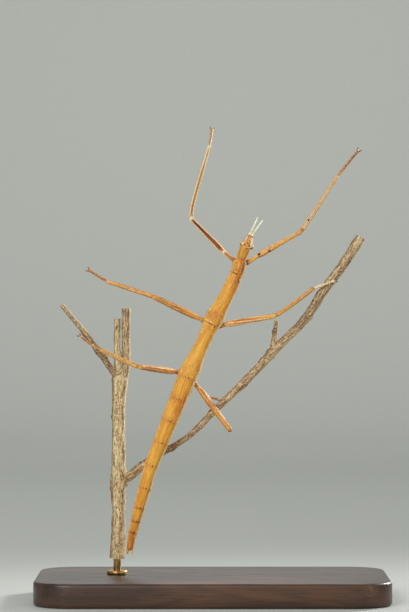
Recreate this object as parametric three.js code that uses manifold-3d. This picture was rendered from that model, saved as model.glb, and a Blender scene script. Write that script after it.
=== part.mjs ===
// Stick insect: an adult female, 70 mm long, gripping a cut forked twig on a small display stand.
// Millimetres, +Z up. The origin is the centre of the base's underside.
// The insect stands head up with its back to -Y, and the twig is behind it, towards +Y.
import * as THREE from 'three';
import { mergeVertices } from 'three/addons/utils/BufferGeometryUtils.js';
import Module from 'manifold-3d';

const wasm = await Module();
wasm.setup();

// ---------- Driving dimensions ----------

const GAP = 0.3; // between a piece and the piece that is cut to fit round it
const PARTING = 0.12; // thin cut between two lengths of the same body

const BODY_SIDES = 14;
const LEG_SIDES = 8;
const WOOD_SIDES = 10;

// Directions are two angles in degrees: turn is clockwise from straight up, seen from the front (-Y),
// and lean is out of that plane, away from the viewer.
const BELLYWARD = new THREE.Vector3(0, 1, 0);
const HEAD_FRONT = new THREE.Vector3(7.7, -3, 74.3);

// The body from the head to the tail. Each ring is [place along the segment, width, drop], where drop
// moves the ring towards the belly, and flatness is the thickness from back to belly over the width.
const BODY = [
  {
    name: 'head', length: 5.1, turn: 21.5, flatness: 0.92,
    rings: [
      [0, 0.9, 0.45], [0.1, 1.45, 0.35], [0.25, 2.05, 0.2], [0.4, 2.35, 0.08], [0.6, 2.3], [0.8, 2.2],
      [1, 2.05],
    ],
  },
  {
    name: 'prothorax', length: 3.2, turn: 17.3, flatness: 0.9,
    rings: [[0, 2.25], [0.12, 2.7], [0.4, 2.95], [0.75, 2.9], [1, 2.75]],
  },
  {
    name: 'mesothorax', length: 11.3, turn: 26.4, flatness: 0.88,
    rings: [[0, 2.75], [0.1, 2.95], [0.45, 3.05], [0.68, 3.35], [0.86, 4.1], [1, 3.75]],
  },
  {
    name: 'metathorax', length: 12.2, turn: 24.6, flatness: 0.86,
    rings: [[0, 3.6], [0.12, 3.2], [0.4, 3.05], [0.62, 3.35], [0.8, 4.1], [0.9, 4.15], [1, 4.05]],
  },
  { name: 'abdomen_02', length: 4.8, turn: 22.3, flatness: 0.88, rings: [[0, 4.05], [0.5, 3.85], [1, 3.75]] },
  { name: 'abdomen_03', length: 4.75, turn: 22.2, flatness: 0.9, rings: [[0, 3.75], [0.5, 3.6], [1, 3.55]] },
  { name: 'abdomen_04', length: 4.75, turn: 21.8, flatness: 0.9, rings: [[0, 3.5], [0.5, 3.35], [1, 3.3]] },
  { name: 'abdomen_05', length: 5.05, turn: 22, flatness: 0.9, rings: [[0, 3.25], [0.5, 3], [1, 2.9]] },
  { name: 'abdomen_06', length: 4.75, turn: 16.3, flatness: 0.9, rings: [[0, 2.85], [0.5, 2.65], [1, 2.7]] },
  { name: 'abdomen_07', length: 4.15, turn: 16, flatness: 0.9, rings: [[0, 2.65], [0.5, 2.5], [1, 2.4]] },
  { name: 'abdomen_08', length: 2.85, turn: 14.5, flatness: 0.92, rings: [[0, 2.4], [0.5, 2.2], [1, 2.05]] },
  { name: 'abdomen_09', length: 2.3, turn: 14.8, flatness: 0.92, rings: [[0, 2], [0.5, 1.85], [1, 1.85]] },
  {
    name: 'abdomen_10', length: 3.6, turn: 9.7, flatness: 0.88,
    rings: [[0, 1.8], [0.5, 1.65], [0.9, 1.45], [1, 1.1]],
  },
];

// The two short feelers at the tail, rooted in the last segment.
const CERCUS = {
  place: 0.9, // along the last segment
  offset: 0.35,
  turn: 186,
  splay: 6,
  lean: 4,
  length: 1.1,
  rings: [[0, 0.6], [0.7, 0.5], [1, 0.3]], // [place, width]
};

// The scoop below the last segments. from and to count segments along the body, and each ring is
// [share of the way, width, thickness].
const OPERCULUM = {
  from: 10.2,
  to: 12.75,
  drop: 0.75,
  rings: [[0, 1.22, 0.64], [0.15, 1.75, 0.96], [0.6, 1.66, 0.96], [0.9, 1.22, 0.8], [1, 0.52, 0.48]],
};

const EYE = { place: 0.41, radius: 0.48, spacing: 2.25, raise: 0.15 };

// The bulge of the mouth below the head, with a pair of palps that hang forward from it. The bulge's
// rings are [place along the head, width, thickness], and a palp's are [place, width].
const MOUTH = {
  drop: 0.85,
  rings: [[0.05, 0.5, 0.35], [0.12, 1.05, 0.8], [0.26, 1.35, 1.05], [0.4, 1.15, 0.8], [0.5, 0.7, 0.4]],
};
const PALP = {
  place: 0.3,
  offset: 0.4,
  drop: 1.1,
  splay: 12,
  lean: 55,
  length: 1.35,
  rings: [[0, 0.55], [0.75, 0.52], [1, 0.4]],
};

// The stouter root joint of each antenna is its first quarter. Each ring is [place, width].
const ANTENNA = {
  length: 4.05,
  drop: 0.1,
  rings: [[0, 0.72], [0.22, 0.72], [0.26, 0.56], [1, 0.5]],
  left: { turn: 27, lean: -4, offset: -0.28 },
  right: { turn: 33.5, lean: -6, offset: 0.3 },
};

// Each leg is a chain of bones from the hip: the femur's bent root, the straight femur, the tibia and
// two lengths of foot, each as [length, turn, lean].
const LEGS = [
  {
    name: 'fore_left', kind: 'fore', hip: [4.4, -2, 69.1],
    root: [3.4, -47.3, 10.2], femur: [10.25, -44.1, 25.4], tibia: [15.5, 14.6, 1.1],
    tarsus: [[3.3, 9.9, 42.2], [3.3, 4.8, 66.2]],
  },
  {
    name: 'fore_right', kind: 'fore', hip: [6.8, -2, 68.15],
    root: [4.1, 52, 0], femur: [9.2, 60.9, -3.1], tibia: [15.9, 33.5, 28],
    tarsus: [[4.9, 38.8, 17.6], [2.3, 41.2, 12.6]],
  },
  {
    name: 'middle_left', kind: 'middle', hip: [-2.25, -2, 57.25],
    root: [1.5, -65.2, 0], femur: [9.7, -64.5, -13.1], tibia: [10.8, -72, 22.8],
    tarsus: [[2.7, -59.5, 12.8], [1.9, -56.5, 12.1]],
  },
  {
    name: 'middle_right', kind: 'middle', hip: [1.7, -1.8, 55.7],
    root: [1.7, 66.6, -24.3], femur: [10.5, 79.8, -20.6], tibia: [11.2, 54.7, 30],
    tarsus: [[2.25, 70.8, 11.6], [2.4, 70, 3.6]],
  },
  {
    name: 'hind_left', kind: 'hind', hip: [-6.75, -1.8, 46.65],
    root: [2, -88.5, -48.9], femur: [11.3, -80.5, -53.6], tibia: [12.15, -67.6, 43.1],
    tarsus: [[2.5, -63.4, -2.3], [2.7, -47, -15.1]],
  },
  {
    name: 'hind_right', kind: 'hind', hip: [-3.7, -1.8, 44.5],
    root: [2, 144, -12.1], femur: [10.7, 143, -19.5], tibia: [11.2, -38.5, 46],
    tarsus: [[1.8, 64.9, 41.3], [2.6, 118.3, -11]],
  },
];
const STRAIGHT_FROM = 0.25; // share of the femur past its root where it runs straight
const KNEE = { reach: 0.4, side: 0.35 }; // where the tibia starts, beyond the knee and beside it

// Widths of each kind of leg, as [place along the bone, width]. The fore femur is thin and bowed at
// its root, where it lies round the head when the legs are stretched forward.
const FEMUR_RINGS = {
  fore: [
    [0, 1.2], [0.06, 1.1], [0.11, 0.82], [0.22, 0.82], [0.26, 1], [0.31, 1.3], [0.42, 1.26], [0.6, 1.12],
    [0.92, 0.88], [0.965, 1], [1, 0.72],
  ],
  middle: [
    [0, 1.45], [0.07, 1.25], [0.12, 0.85], [0.16, 0.95], [0.22, 1.2], [0.6, 1.22], [0.9, 1], [0.96, 1.15],
    [1, 0.8],
  ],
  hind: [
    [0, 1.5], [0.07, 1.3], [0.13, 0.85], [0.17, 0.95], [0.24, 1.22], [0.6, 1.2], [0.9, 0.98], [0.96, 1.12],
    [1, 0.8],
  ],
};
const TIBIA_RINGS = {
  fore: [[0, 0.6], [0.03, 0.92], [0.09, 0.86], [0.5, 0.84], [0.94, 0.72], [0.98, 0.8], [1, 0.6]],
  middle: [[0, 0.6], [0.04, 0.92], [0.1, 0.84], [0.5, 0.86], [0.93, 0.78], [0.975, 0.88], [1, 0.64]],
  hind: [[0, 0.62], [0.04, 0.95], [0.1, 0.88], [0.5, 0.88], [0.93, 0.8], [0.975, 0.9], [1, 0.66]],
};

// The foot is five beads in line. Each is narrow at its root and widest near its end.
const TARSUS = { joints: [0, 0.42, 0.58, 0.7, 0.8, 1], waist: 0.5, belly: 0.62, bellyPlace: 0.75, end: 0.7 };
const CLAW = { length: 0.75, offset: 0.1, spread: 38, rings: [[0, 0.42], [1, 0.26]] };

// The twig is one forked piece of wood. Each row is [x, y, z, radius].
const STEM = [
  [-19.55, 1.2, 8.3, 1.6], [-19.35, 1.2, 12, 1.46], [-19.25, 1.2, 18, 1.34], [-19.3, 1.2, 22.3, 1.55],
  [-19.15, 1.2, 24.4, 1.9], [-19.25, 1.2, 27, 1.45], [-19.25, 1.2, 34, 1.3], [-19.2, 1.2, 41, 1.38],
  [-18.95, 1.2, 45, 1.7], [-18.8, 1.2, 46.6, 1.7],
];
const LEFT_PRONG = [
  [-19.2, 1.2, 44.5, 0.75], [-19.45, 1.2, 47.5, 0.68], [-19.55, 1.2, 52, 0.64], [-19.5, 1.2, 57.4, 0.65],
];
const RIGHT_PRONG = [
  [-18.3, 1.2, 44.5, 0.9], [-17.8, 1.2, 47.5, 0.86], [-17.75, 1.2, 53, 0.82], [-17.7, 1.2, 59.5, 0.84],
];
const BRANCH = [
  [-19.3, 1.2, 24.1, 1.1], [-16.7, 1.2, 25.4, 0.92], [-14.85, 1, 26.9, 0.84], [-11.6, 0.7, 29.2, 0.74],
  [-7.1, 1.1, 31.8, 0.6], [-4.4, 1.3, 33.7, 0.6], [-0.5, 1.4, 37.6, 0.68], [4, 1.5, 42, 0.74],
  [6.25, 1.5, 44.1, 0.84], [9.1, 1.5, 47, 0.84], [12.6, 1.5, 50.8, 0.98], [15.2, 1.5, 53.4, 0.86],
  [18.5, 1.4, 56.7, 0.88], [22.5, 1.4, 62.7, 0.94], [26.5, 1.4, 68.1, 1], [30.45, 1.4, 74.1, 1.04],
];
const STUB = [[12.3, 1.5, 51.3, 0.6], [12.8, 1.5, 54.4, 0.48], [13.1, 1.5, 57, 0.44]];
const TWIG = [
  [-19.3, 1.2, 45.3, 0.8], [-20.7, 0.4, 47.1, 0.68], [-22.25, -1.1, 49.4, 0.62], [-23.45, -2.1, 51, 0.74],
  [-24.1, -2.6, 52, 0.58], [-25.8, -3.4, 54.4, 0.54], [-28.35, -4.4, 57.4, 0.5], [-30.6, -5, 60.25, 0.47],
];

const BASE = { width: 72, depth: 40, height: 5, corner: 8, edge: 0.6 };
const ROD = { radius: 0.75, inStem: 5, aboveBase: 0.1, sides: 16 };

// ---------- Materials ----------

function finish(color, roughness, metalness = 0) {
  return new THREE.MeshStandardMaterial({ color, roughness, metalness });
}

const straw = finish('#d29a44', 0.6);
const ochre = finish('#c88f45', 0.6);
const legStraw = finish('#c98a45', 0.6);
const footBrown = finish('#b0764a', 0.65);
const cream = finish('#e8dfae', 0.55);
const eyeTan = finish('#a9743a', 0.3);
const bark = finish('#a8967c', 0.85);
const oiledWood = finish('#4a3222', 0.5);
const brass = finish('#b08d4f', 0.3, 1);

// ---------- Shapes ----------

const part = new THREE.Group();

function addNode(name, solid, material) {
  const { vertProperties, triVerts, numProp } = solid.getMesh();
  const positions = new Float32Array((vertProperties.length / numProp) * 3);
  for (let vertex = 0; vertex < positions.length / 3; vertex += 1) {
    positions.set(vertProperties.subarray(vertex * numProp, vertex * numProp + 3), vertex * 3);
  }
  const geometry = new THREE.BufferGeometry();
  geometry.setAttribute('position', new THREE.BufferAttribute(positions, 3));
  geometry.setIndex(new THREE.BufferAttribute(new Uint32Array(triVerts), 1));
  geometry.computeVertexNormals();
  const mesh = new THREE.Mesh(geometry, material);
  mesh.name = name;
  part.add(mesh);
}

// A closed geometry as a solid that can be joined and cut.
function solidOf(geometry) {
  const bare = geometry.clone();
  bare.deleteAttribute('normal');
  bare.deleteAttribute('uv');
  const weld = 1e-4;
  const merged = mergeVertices(bare, weld);
  const corners = merged.index.array;
  const triangles = [];
  for (let corner = 0; corner < corners.length; corner += 3) {
    const [a, b, c] = corners.slice(corner, corner + 3);
    if (a !== b && b !== c && c !== a) {
      triangles.push(a, b, c);
    }
  }
  return new wasm.Manifold(new wasm.Mesh({
    numProp: 3,
    vertProperties: merged.attributes.position.array,
    triVerts: new Uint32Array(triangles),
  }));
}

function joined(solids) {
  return solids.reduce((whole, solid) => whole.add(solid));
}

function direction(turn, lean) {
  const across = THREE.MathUtils.degToRad(turn);
  const away = THREE.MathUtils.degToRad(lean);
  const flat = Math.cos(away);
  return new THREE.Vector3(Math.sin(across) * flat, Math.sin(away), Math.cos(across) * flat);
}

// A turned solid whose axis is bent along a curve. Each ring has its place, which pointAt reads, its
// width, its thickness from back to belly, and its drop towards the belly.
// grow makes it larger all round, for a tool that cuts a piece to fit.
function bentLathe(pointAt, rings, sides, grow = 0) {
  const last = rings.length - 1;
  const profile = [
    new THREE.Vector2(0, 0),
    ...rings.map((ring, step) => new THREE.Vector2(1, step / last)),
    new THREE.Vector2(0, 1),
  ];
  const geometry = new THREE.LatheGeometry(profile, sides);
  const position = geometry.attributes.position;
  const vertex = new THREE.Vector3();
  const small = 1e-3;
  for (let index = 0; index < position.count; index += 1) {
    const step = THREE.MathUtils.clamp((index % profile.length) - 1, 0, last);
    const ring = rings[step];
    const along = pointAt(ring.place + small).sub(pointAt(ring.place - small)).normalize();
    const belly = BELLYWARD.clone().addScaledVector(along, -BELLYWARD.dot(along)).normalize();
    const side = along.clone().cross(belly);
    vertex.fromBufferAttribute(position, index);
    const centre = pointAt(ring.place);
    if (step === 0) {
      centre.addScaledVector(along, -grow);
    }
    if (step === last) {
      centre.addScaledVector(along, grow);
    }
    centre.addScaledVector(side, vertex.x * (ring.width / 2 + grow));
    centre.addScaledVector(belly, vertex.z * (ring.thickness / 2 + grow) + ring.drop);
    position.setXYZ(index, centre.x, centre.y, centre.z);
  }
  return solidOf(geometry);
}

// A point on a curve, by the curve's own parameter, or on its straight extension past either end.
function onCurve(curve, place) {
  const within = THREE.MathUtils.clamp(place, 0, 1);
  const point = curve.getPoint(within);
  return point.addScaledVector(curve.getTangent(within), (place - within) * curve.getLength());
}

// The same by the share of the curve's length.
function alongCurve(curve, share) {
  const within = THREE.MathUtils.clamp(share, 0, 1);
  const point = curve.getPointAt(within);
  return point.addScaledVector(curve.getTangentAt(within), (share - within) * curve.getLength());
}

// A round limb along a curve, with rings of [place, width].
function limb(curve, rings, sides, grow = 0, pointOn = onCurve) {
  const round = rings.map(([place, width]) => ({ place, width, thickness: width, drop: 0 }));
  return bentLathe((place) => pointOn(curve, place), round, sides, grow);
}

// A length of wood through points that carry their own radius.
function wood(rows, grow = 0) {
  const curve = new THREE.CatmullRomCurve3(rows.map(([x, y, z]) => new THREE.Vector3(x, y, z)));
  const rings = rows.map((row, step) => [step / (rows.length - 1), row[3] * 2]);
  return limb(curve, rings, WOOD_SIDES, grow);
}

// ---------- Body ----------

const joints = [HEAD_FRONT];
for (const segment of BODY) {
  joints.push(joints.at(-1).clone().addScaledVector(direction(segment.turn, 0), -segment.length));
}
const bodyAxis = new THREE.CatmullRomCurve3(joints);

// A place on the body axis, counted in segments from the front of the head.
function bodyPoint(place) {
  return onCurve(bodyAxis, place / BODY.length);
}

function bodySegment(segment, number, parting, grow) {
  const trim = parting / 2 / segment.length;
  const rings = segment.rings.map(([place, width, drop = 0]) => ({
    place: number + THREE.MathUtils.clamp(place, trim, 1 - trim),
    width,
    thickness: width * segment.flatness,
    drop,
  }));
  return bentLathe(bodyPoint, rings, BODY_SIDES, grow);
}

const bodyPieces = BODY.map((segment, number) => bodySegment(segment, number, PARTING, 0));
const bodyRoom = joined(BODY.map((segment, number) => bodySegment(segment, number, 0, GAP)));

// ---------- Head: mouth, eyes and antennae ----------

const LEFT = -1;
const RIGHT = 1;

// The middle of the body at a place, and the way to the insect's right there.
function crossSection(place) {
  const small = 0.01;
  const along = bodyPoint(place - small).sub(bodyPoint(place + small)).normalize();
  const right = BELLYWARD.clone().cross(along).normalize();
  return { centre: bodyPoint(place), right };
}

function eyeBall(side, grow) {
  const { centre, right } = crossSection(EYE.place);
  centre.addScaledVector(right, side * EYE.spacing / 2);
  centre.addScaledVector(BELLYWARD, -EYE.raise);
  const ball = new THREE.SphereGeometry(EYE.radius + grow, 12, 8);
  ball.translate(centre.x, centre.y, centre.z);
  return solidOf(ball);
}

const mouthRings = MOUTH.rings.map(([place, width, thickness]) => {
  return { place, width, thickness, drop: MOUTH.drop };
});
const palps = [LEFT, RIGHT].map((side) => {
  const { centre, right } = crossSection(PALP.place);
  const root = centre.addScaledVector(right, side * PALP.offset).addScaledVector(BELLYWARD, PALP.drop);
  const out = direction(BODY[0].turn + side * PALP.splay, PALP.lean);
  const tip = root.clone().addScaledVector(out, PALP.length);
  return limb(new THREE.LineCurve3(root, tip), PALP.rings, LEG_SIDES);
});
let head = joined([bodyPieces[0], bentLathe(bodyPoint, mouthRings, BODY_SIDES), ...palps]);
for (const [name, side] of [['eye_left', LEFT], ['eye_right', RIGHT]]) {
  head = head.subtract(eyeBall(side, PARTING));
  addNode(name, eyeBall(side, 0), eyeTan);
}
addNode('head', head, ochre);

for (const name of ['left', 'right']) {
  const { turn, lean, offset } = ANTENNA[name];
  const { centre, right } = crossSection(0);
  const root = centre.addScaledVector(right, offset).addScaledVector(BELLYWARD, ANTENNA.drop);
  const tip = root.clone().addScaledVector(direction(turn, lean), ANTENNA.length);
  const antenna = limb(new THREE.LineCurve3(root, tip), ANTENNA.rings, LEG_SIDES);
  addNode(`antenna_${name}`, antenna.subtract(bodyRoom), cream);
}

// ---------- Thorax and abdomen ----------

const tail = BODY.length - 1;
for (let number = 1; number < tail; number += 1) {
  addNode(BODY[number].name, bodyPieces[number], straw);
}

const cerci = [LEFT, RIGHT].map((side) => {
  const { centre, right } = crossSection(tail + CERCUS.place);
  const root = centre.addScaledVector(right, side * CERCUS.offset);
  const out = direction(CERCUS.turn + side * CERCUS.splay, CERCUS.lean);
  const tip = root.clone().addScaledVector(out, CERCUS.length);
  return limb(new THREE.LineCurve3(root, tip), CERCUS.rings, LEG_SIDES);
});
addNode(BODY[tail].name, joined([bodyPieces[tail], ...cerci]), straw);

const scoopRings = OPERCULUM.rings.map(([share, width, thickness]) => ({
  place: THREE.MathUtils.lerp(OPERCULUM.from, OPERCULUM.to, share),
  width,
  thickness,
  drop: OPERCULUM.drop,
}));
addNode('operculum', bentLathe(bodyPoint, scoopRings, BODY_SIDES).subtract(bodyRoom), straw);

// ---------- Legs ----------

function follow(start, [length, turn, lean]) {
  return start.clone().addScaledVector(direction(turn, lean), length);
}

// The five beads in line, with a pair of claws at the end.
function tarsusSolid(ankle, foot, toe) {
  const curve = new THREE.QuadraticBezierCurve3(ankle, foot, toe);
  const beads = TARSUS.joints.slice(0, -1).flatMap((from, bead) => [
    [from, TARSUS.waist],
    [THREE.MathUtils.lerp(from, TARSUS.joints[bead + 1], TARSUS.bellyPlace), TARSUS.belly],
  ]);
  const forward = curve.getTangent(1);
  const across = forward.clone().cross(BELLYWARD).normalize();
  const claws = [LEFT, RIGHT].map((side) => {
    const out = forward.clone().applyAxisAngle(BELLYWARD, THREE.MathUtils.degToRad(side * CLAW.spread));
    const root = toe.clone().addScaledVector(across, -side * CLAW.offset);
    const tip = root.clone().addScaledVector(out, CLAW.length);
    return limb(new THREE.LineCurve3(root, tip), CLAW.rings, LEG_SIDES);
  });
  return joined([limb(curve, [...beads, [1, TARSUS.end]], LEG_SIDES), ...claws]);
}

for (const leg of LEGS) {
  const hip = new THREE.Vector3(...leg.hip);
  const collar = follow(hip, leg.root);
  const knee = follow(collar, leg.femur);
  const ankle = follow(knee, leg.tibia);
  const foot = follow(ankle, leg.tarsus[0]);
  const toe = follow(foot, leg.tarsus[1]);

  // The femur's root, a coxa and trochanter, bends into the straight femur.
  const straight = collar.clone().lerp(knee, STRAIGHT_FROM);
  const femurCurve = new THREE.CatmullRomCurve3([hip, collar, straight, knee]);
  const femurRings = FEMUR_RINGS[leg.kind];
  const femur = limb(femurCurve, femurRings, LEG_SIDES, 0, alongCurve).subtract(bodyRoom);
  const femurRoom = limb(femurCurve, femurRings, LEG_SIDES, PARTING, alongCurve);

  const alongFemur = direction(leg.femur[1], leg.femur[2]);
  const alongTibia = direction(leg.tibia[1], leg.tibia[2]);
  const kneeSide = alongTibia.clone().addScaledVector(alongFemur, -alongFemur.dot(alongTibia)).normalize();
  const kneeTop = knee.clone().addScaledVector(alongFemur, KNEE.reach).addScaledVector(kneeSide, KNEE.side);
  const tibiaCurve = new THREE.LineCurve3(kneeTop, ankle);
  const tibia = limb(tibiaCurve, TIBIA_RINGS[leg.kind], LEG_SIDES).subtract(femurRoom);
  const tibiaRoom = limb(tibiaCurve, TIBIA_RINGS[leg.kind], LEG_SIDES, PARTING);

  addNode(`${leg.name}_femur`, femur, legStraw);
  addNode(`${leg.name}_tibia`, tibia, legStraw);
  addNode(`${leg.name}_tarsus`, tarsusSolid(ankle, foot, toe).subtract(tibiaRoom), footBrown);
}

// ---------- Twig ----------

const [stemX, stemY, stemFoot] = STEM[0];
const holeRadius = ROD.radius + GAP;
const holeDepth = ROD.inStem + GAP;
const rodHole = new THREE.CylinderGeometry(holeRadius, holeRadius, 2 * holeDepth, ROD.sides);
rodHole.rotateX(Math.PI / 2);
rodHole.translate(stemX, stemY, stemFoot);

const stemParts = [STEM, LEFT_PRONG, RIGHT_PRONG];
const stem = joined(stemParts.map((rows) => wood(rows)));
const stemRoom = joined(stemParts.map((rows) => wood(rows, PARTING)));
addNode('perch_stem', stem.subtract(solidOf(rodHole)), bark);
addNode('perch_branch', joined([wood(BRANCH), wood(STUB)]).subtract(stemRoom), bark);
addNode('perch_twig', wood(TWIG).subtract(stemRoom), bark);

// ---------- Stand ----------

const halfWidth = BASE.width / 2 - BASE.edge;
const halfDepth = BASE.depth / 2 - BASE.edge;
const corner = BASE.corner - BASE.edge;
const outline = new THREE.Shape();
outline.moveTo(-halfWidth + corner, -halfDepth);
outline.lineTo(halfWidth - corner, -halfDepth);
outline.absarc(halfWidth - corner, -halfDepth + corner, corner, -Math.PI / 2, 0);
outline.absarc(halfWidth - corner, halfDepth - corner, corner, 0, Math.PI / 2);
outline.absarc(-halfWidth + corner, halfDepth - corner, corner, Math.PI / 2, Math.PI);
outline.absarc(-halfWidth + corner, -halfDepth + corner, corner, Math.PI, 1.5 * Math.PI);
const plate = new THREE.ExtrudeGeometry(outline, {
  depth: BASE.height - 2 * BASE.edge,
  bevelThickness: BASE.edge,
  bevelSize: BASE.edge,
  bevelSegments: 2,
  curveSegments: 6,
});
plate.translate(0, 0, BASE.edge);
addNode('stand_base', solidOf(plate), oiledWood);

const rodFoot = BASE.height + ROD.aboveBase;
const rodTop = stemFoot + ROD.inStem;
const rod = new THREE.CylinderGeometry(ROD.radius, ROD.radius, rodTop - rodFoot, ROD.sides);
rod.rotateX(Math.PI / 2);
rod.translate(stemX, stemY, (rodTop + rodFoot) / 2);
addNode('stand_rod', solidOf(rod), brass);

export default part;
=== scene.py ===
import math

import bpy
import numpy as np
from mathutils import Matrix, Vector, noise


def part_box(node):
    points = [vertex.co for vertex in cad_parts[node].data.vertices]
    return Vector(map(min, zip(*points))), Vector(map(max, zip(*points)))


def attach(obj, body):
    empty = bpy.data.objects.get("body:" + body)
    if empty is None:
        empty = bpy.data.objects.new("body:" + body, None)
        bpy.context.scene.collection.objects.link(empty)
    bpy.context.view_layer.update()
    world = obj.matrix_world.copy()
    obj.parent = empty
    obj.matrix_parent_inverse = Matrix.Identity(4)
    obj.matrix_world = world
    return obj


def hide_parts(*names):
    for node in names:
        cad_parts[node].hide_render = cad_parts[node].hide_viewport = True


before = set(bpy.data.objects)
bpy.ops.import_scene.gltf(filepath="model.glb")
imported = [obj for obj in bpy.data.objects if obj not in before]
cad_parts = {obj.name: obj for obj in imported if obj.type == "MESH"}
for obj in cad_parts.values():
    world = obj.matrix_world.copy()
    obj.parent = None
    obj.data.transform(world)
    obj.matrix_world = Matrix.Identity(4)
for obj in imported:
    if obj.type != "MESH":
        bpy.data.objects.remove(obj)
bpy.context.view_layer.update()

# ---------------------------------------------------------------------- Base
# A flat plate of oiled walnut, cut to size, with rounded corners and eased edges.
# It lies loose on the table and carries the rod.

MM = 0.001
BASE_CORNER = 8 * MM
BASE_EDGE = 0.7 * MM
WALNUT_DARK = (34, 20, 13)
WALNUT_MIDDLE = (66, 41, 26)
WALNUT_LIGHT = (96, 63, 40)


def shade(red, green, blue):
    """A colour as a paint chart gives it, from 0 to 255, as Blender's linear colour."""
    linear = []
    for part in (red / 255, green / 255, blue / 255):
        linear.append(part / 12.92 if part <= 0.04045 else ((part + 0.055) / 1.055) ** 2.4)
    return (*linear, 1.0)


def put(tree, kind, inputs, **settings):
    """Adds one node. An input is a number, a colour, a vector or another node's socket."""
    node = tree.nodes.new("ShaderNode" + kind)
    for key, value in settings.items():
        setattr(node, key, value)
    for key, value in inputs.items():
        if isinstance(value, bpy.types.NodeSocket):
            tree.links.new(value, node.inputs[key])
        else:
            node.inputs[key].default_value = value
    return node


def new_material(name, **sockets):
    """An empty Principled material, with the values that are the same all over its surface."""
    material = bpy.data.materials.new(name)
    material.use_nodes = True
    tree = material.node_tree
    for key, value in sockets.items():
        tree.nodes["Principled BSDF"].inputs[key.replace("_", " ")].default_value = value
    return material, tree


def place_on(tree, source, scale):
    """A pattern's place on the piece: object coordinates, or a named attribute, times scale."""
    if source == "object":
        vector = put(tree, "TexCoord", {}).outputs["Object"]
    else:
        vector = put(tree, "Attribute", {}, attribute_name=source).outputs["Vector"]
    return put(tree, "Mapping", {"Vector": vector, "Scale": scale}).outputs["Vector"]


def cloud(tree, source, scale, detail, distortion=0.0):
    """A cloudy pattern of greys."""
    inputs = {"Vector": place_on(tree, source, scale), "Scale": 1.0, "Detail": detail}
    inputs["Distortion"] = distortion
    return put(tree, "TexNoise", inputs).outputs["Fac"]


def ramp(tree, value, *stops):
    """Turns a value into a colour or a grey. A stop is (value, colour) or (value, grey)."""
    node = put(tree, "ValToRGB", {"Fac": value})
    elements = node.color_ramp.elements
    while len(elements) < len(stops):
        elements.new(0.5)
    for element, (place, colour) in zip(elements, stops):
        element.position = place
        element.color = shade(*colour) if isinstance(colour, tuple) else (colour, colour, colour, 1.0)
    return node.outputs["Color"]


def layered(tree, colour, *layers, blend="MIX"):
    """Lays one colour after another over the first. A layer is (its share, its colour)."""
    for share, tone in layers:
        if isinstance(tone, tuple):
            tone = shade(*tone)
        node = put(tree, "Mix", {0: share, 6: colour, 7: tone}, data_type="RGBA", blend_type=blend)
        colour = node.outputs[2]
    return colour


def set_finish(tree, colour, *layers, roughness=None):
    """Gives a surface its colour, its bumps, and its roughness where that varies.

    A layer of bumps is (its pattern, its depth in millimetres), and lies on the one before.
    """
    surface = tree.nodes["Principled BSDF"].inputs
    tree.links.new(colour, surface["Base Color"])
    if roughness is not None:
        tree.links.new(roughness, surface["Roughness"])
    inputs = {"Strength": 1.0}
    for pattern, depth in layers:
        inputs |= {"Height": pattern, "Distance": depth * MM}
        inputs["Normal"] = put(tree, "Bump", inputs).outputs["Normal"]
        tree.links.new(inputs["Normal"], surface["Normal"])


def select_only(*pieces):
    """Selects these pieces and nothing else, and makes the first one active."""
    bpy.ops.object.select_all(action="DESELECT")
    for piece in pieces:
        piece.select_set(True)
    if pieces:
        bpy.context.view_layer.objects.active = pieces[0]


def pick(piece, kind, wanted):
    """Opens a piece for editing with only the vertices, edges or faces that are wanted."""
    bpy.ops.object.mode_set(mode="EDIT")
    bpy.ops.mesh.select_mode(type=kind)
    bpy.ops.mesh.select_all(action="DESELECT")
    bpy.ops.object.mode_set(mode="OBJECT")
    mesh = piece.data
    for item in {"VERT": mesh.vertices, "EDGE": mesh.edges, "FACE": mesh.polygons}[kind]:
        item.select = wanted(item)
    bpy.ops.object.mode_set(mode="EDIT")


def modify(piece, kind, **settings):
    """Adds a modifier and applies it."""
    bpy.context.view_layer.objects.active = piece
    modifier = piece.modifiers.new(kind, kind)
    for key, value in settings.items():
        setattr(modifier, key, value)
    bpy.ops.object.modifier_apply(modifier=modifier.name)


def finished(piece, name, angle, material=None):
    """Names a piece, gives it its material, smooths its shading and sets it on the body."""
    piece.name = name
    if material is not None:
        piece.data.materials.clear()
        piece.data.materials.append(material)
    select_only(piece)
    bpy.ops.object.transform_apply()
    bpy.ops.object.shade_smooth_by_angle(angle=math.radians(angle))
    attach(piece, "root")


walnut, tree = new_material("oiled walnut", Coat_Weight=0.12, Coat_Roughness=0.3)
figure = cloud(tree, "object", (26, 190, 190), 4.0, 0.8)
fibres = cloud(tree, "object", (150, 3200, 3200), 2.0)
pores = ramp(tree, fibres, (0.36, 0.35), (0.5, 1.0))
stained = ramp(tree, figure, (0.3, WALNUT_DARK), (0.5, WALNUT_MIDDLE), (0.72, WALNUT_LIGHT))
colour = layered(tree, stained, (0.55, pores), blend="MULTIPLY")
oiled = ramp(tree, fibres, (0.3, 0.55), (0.6, 0.36))
set_finish(tree, colour, (fibres, 0.03), roughness=oiled)

select_only()
low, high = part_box("stand_base")
bpy.ops.mesh.primitive_cube_add(size=1, location=(low + high) / 2, scale=high - low)
base = bpy.context.object
bpy.ops.object.transform_apply()


def upright(edge):
    foot, top = (base.data.vertices[index].co for index in edge.vertices)
    return abs(foot.z - top.z) > BASE_EDGE


def at_top_or_bottom(edge):
    ends = [base.data.vertices[index].co.z for index in edge.vertices]
    return max(ends) < low.z + BASE_EDGE or min(ends) > high.z - BASE_EDGE


pick(base, "EDGE", upright)
bpy.ops.mesh.bevel(offset=BASE_CORNER, segments=12)
pick(base, "EDGE", at_top_or_bottom)
bpy.ops.mesh.bevel(offset=BASE_EDGE, segments=5)
bpy.ops.object.mode_set(mode="OBJECT")
finished(base, "wooden_base", 35, walnut)
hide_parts("stand_base")

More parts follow.
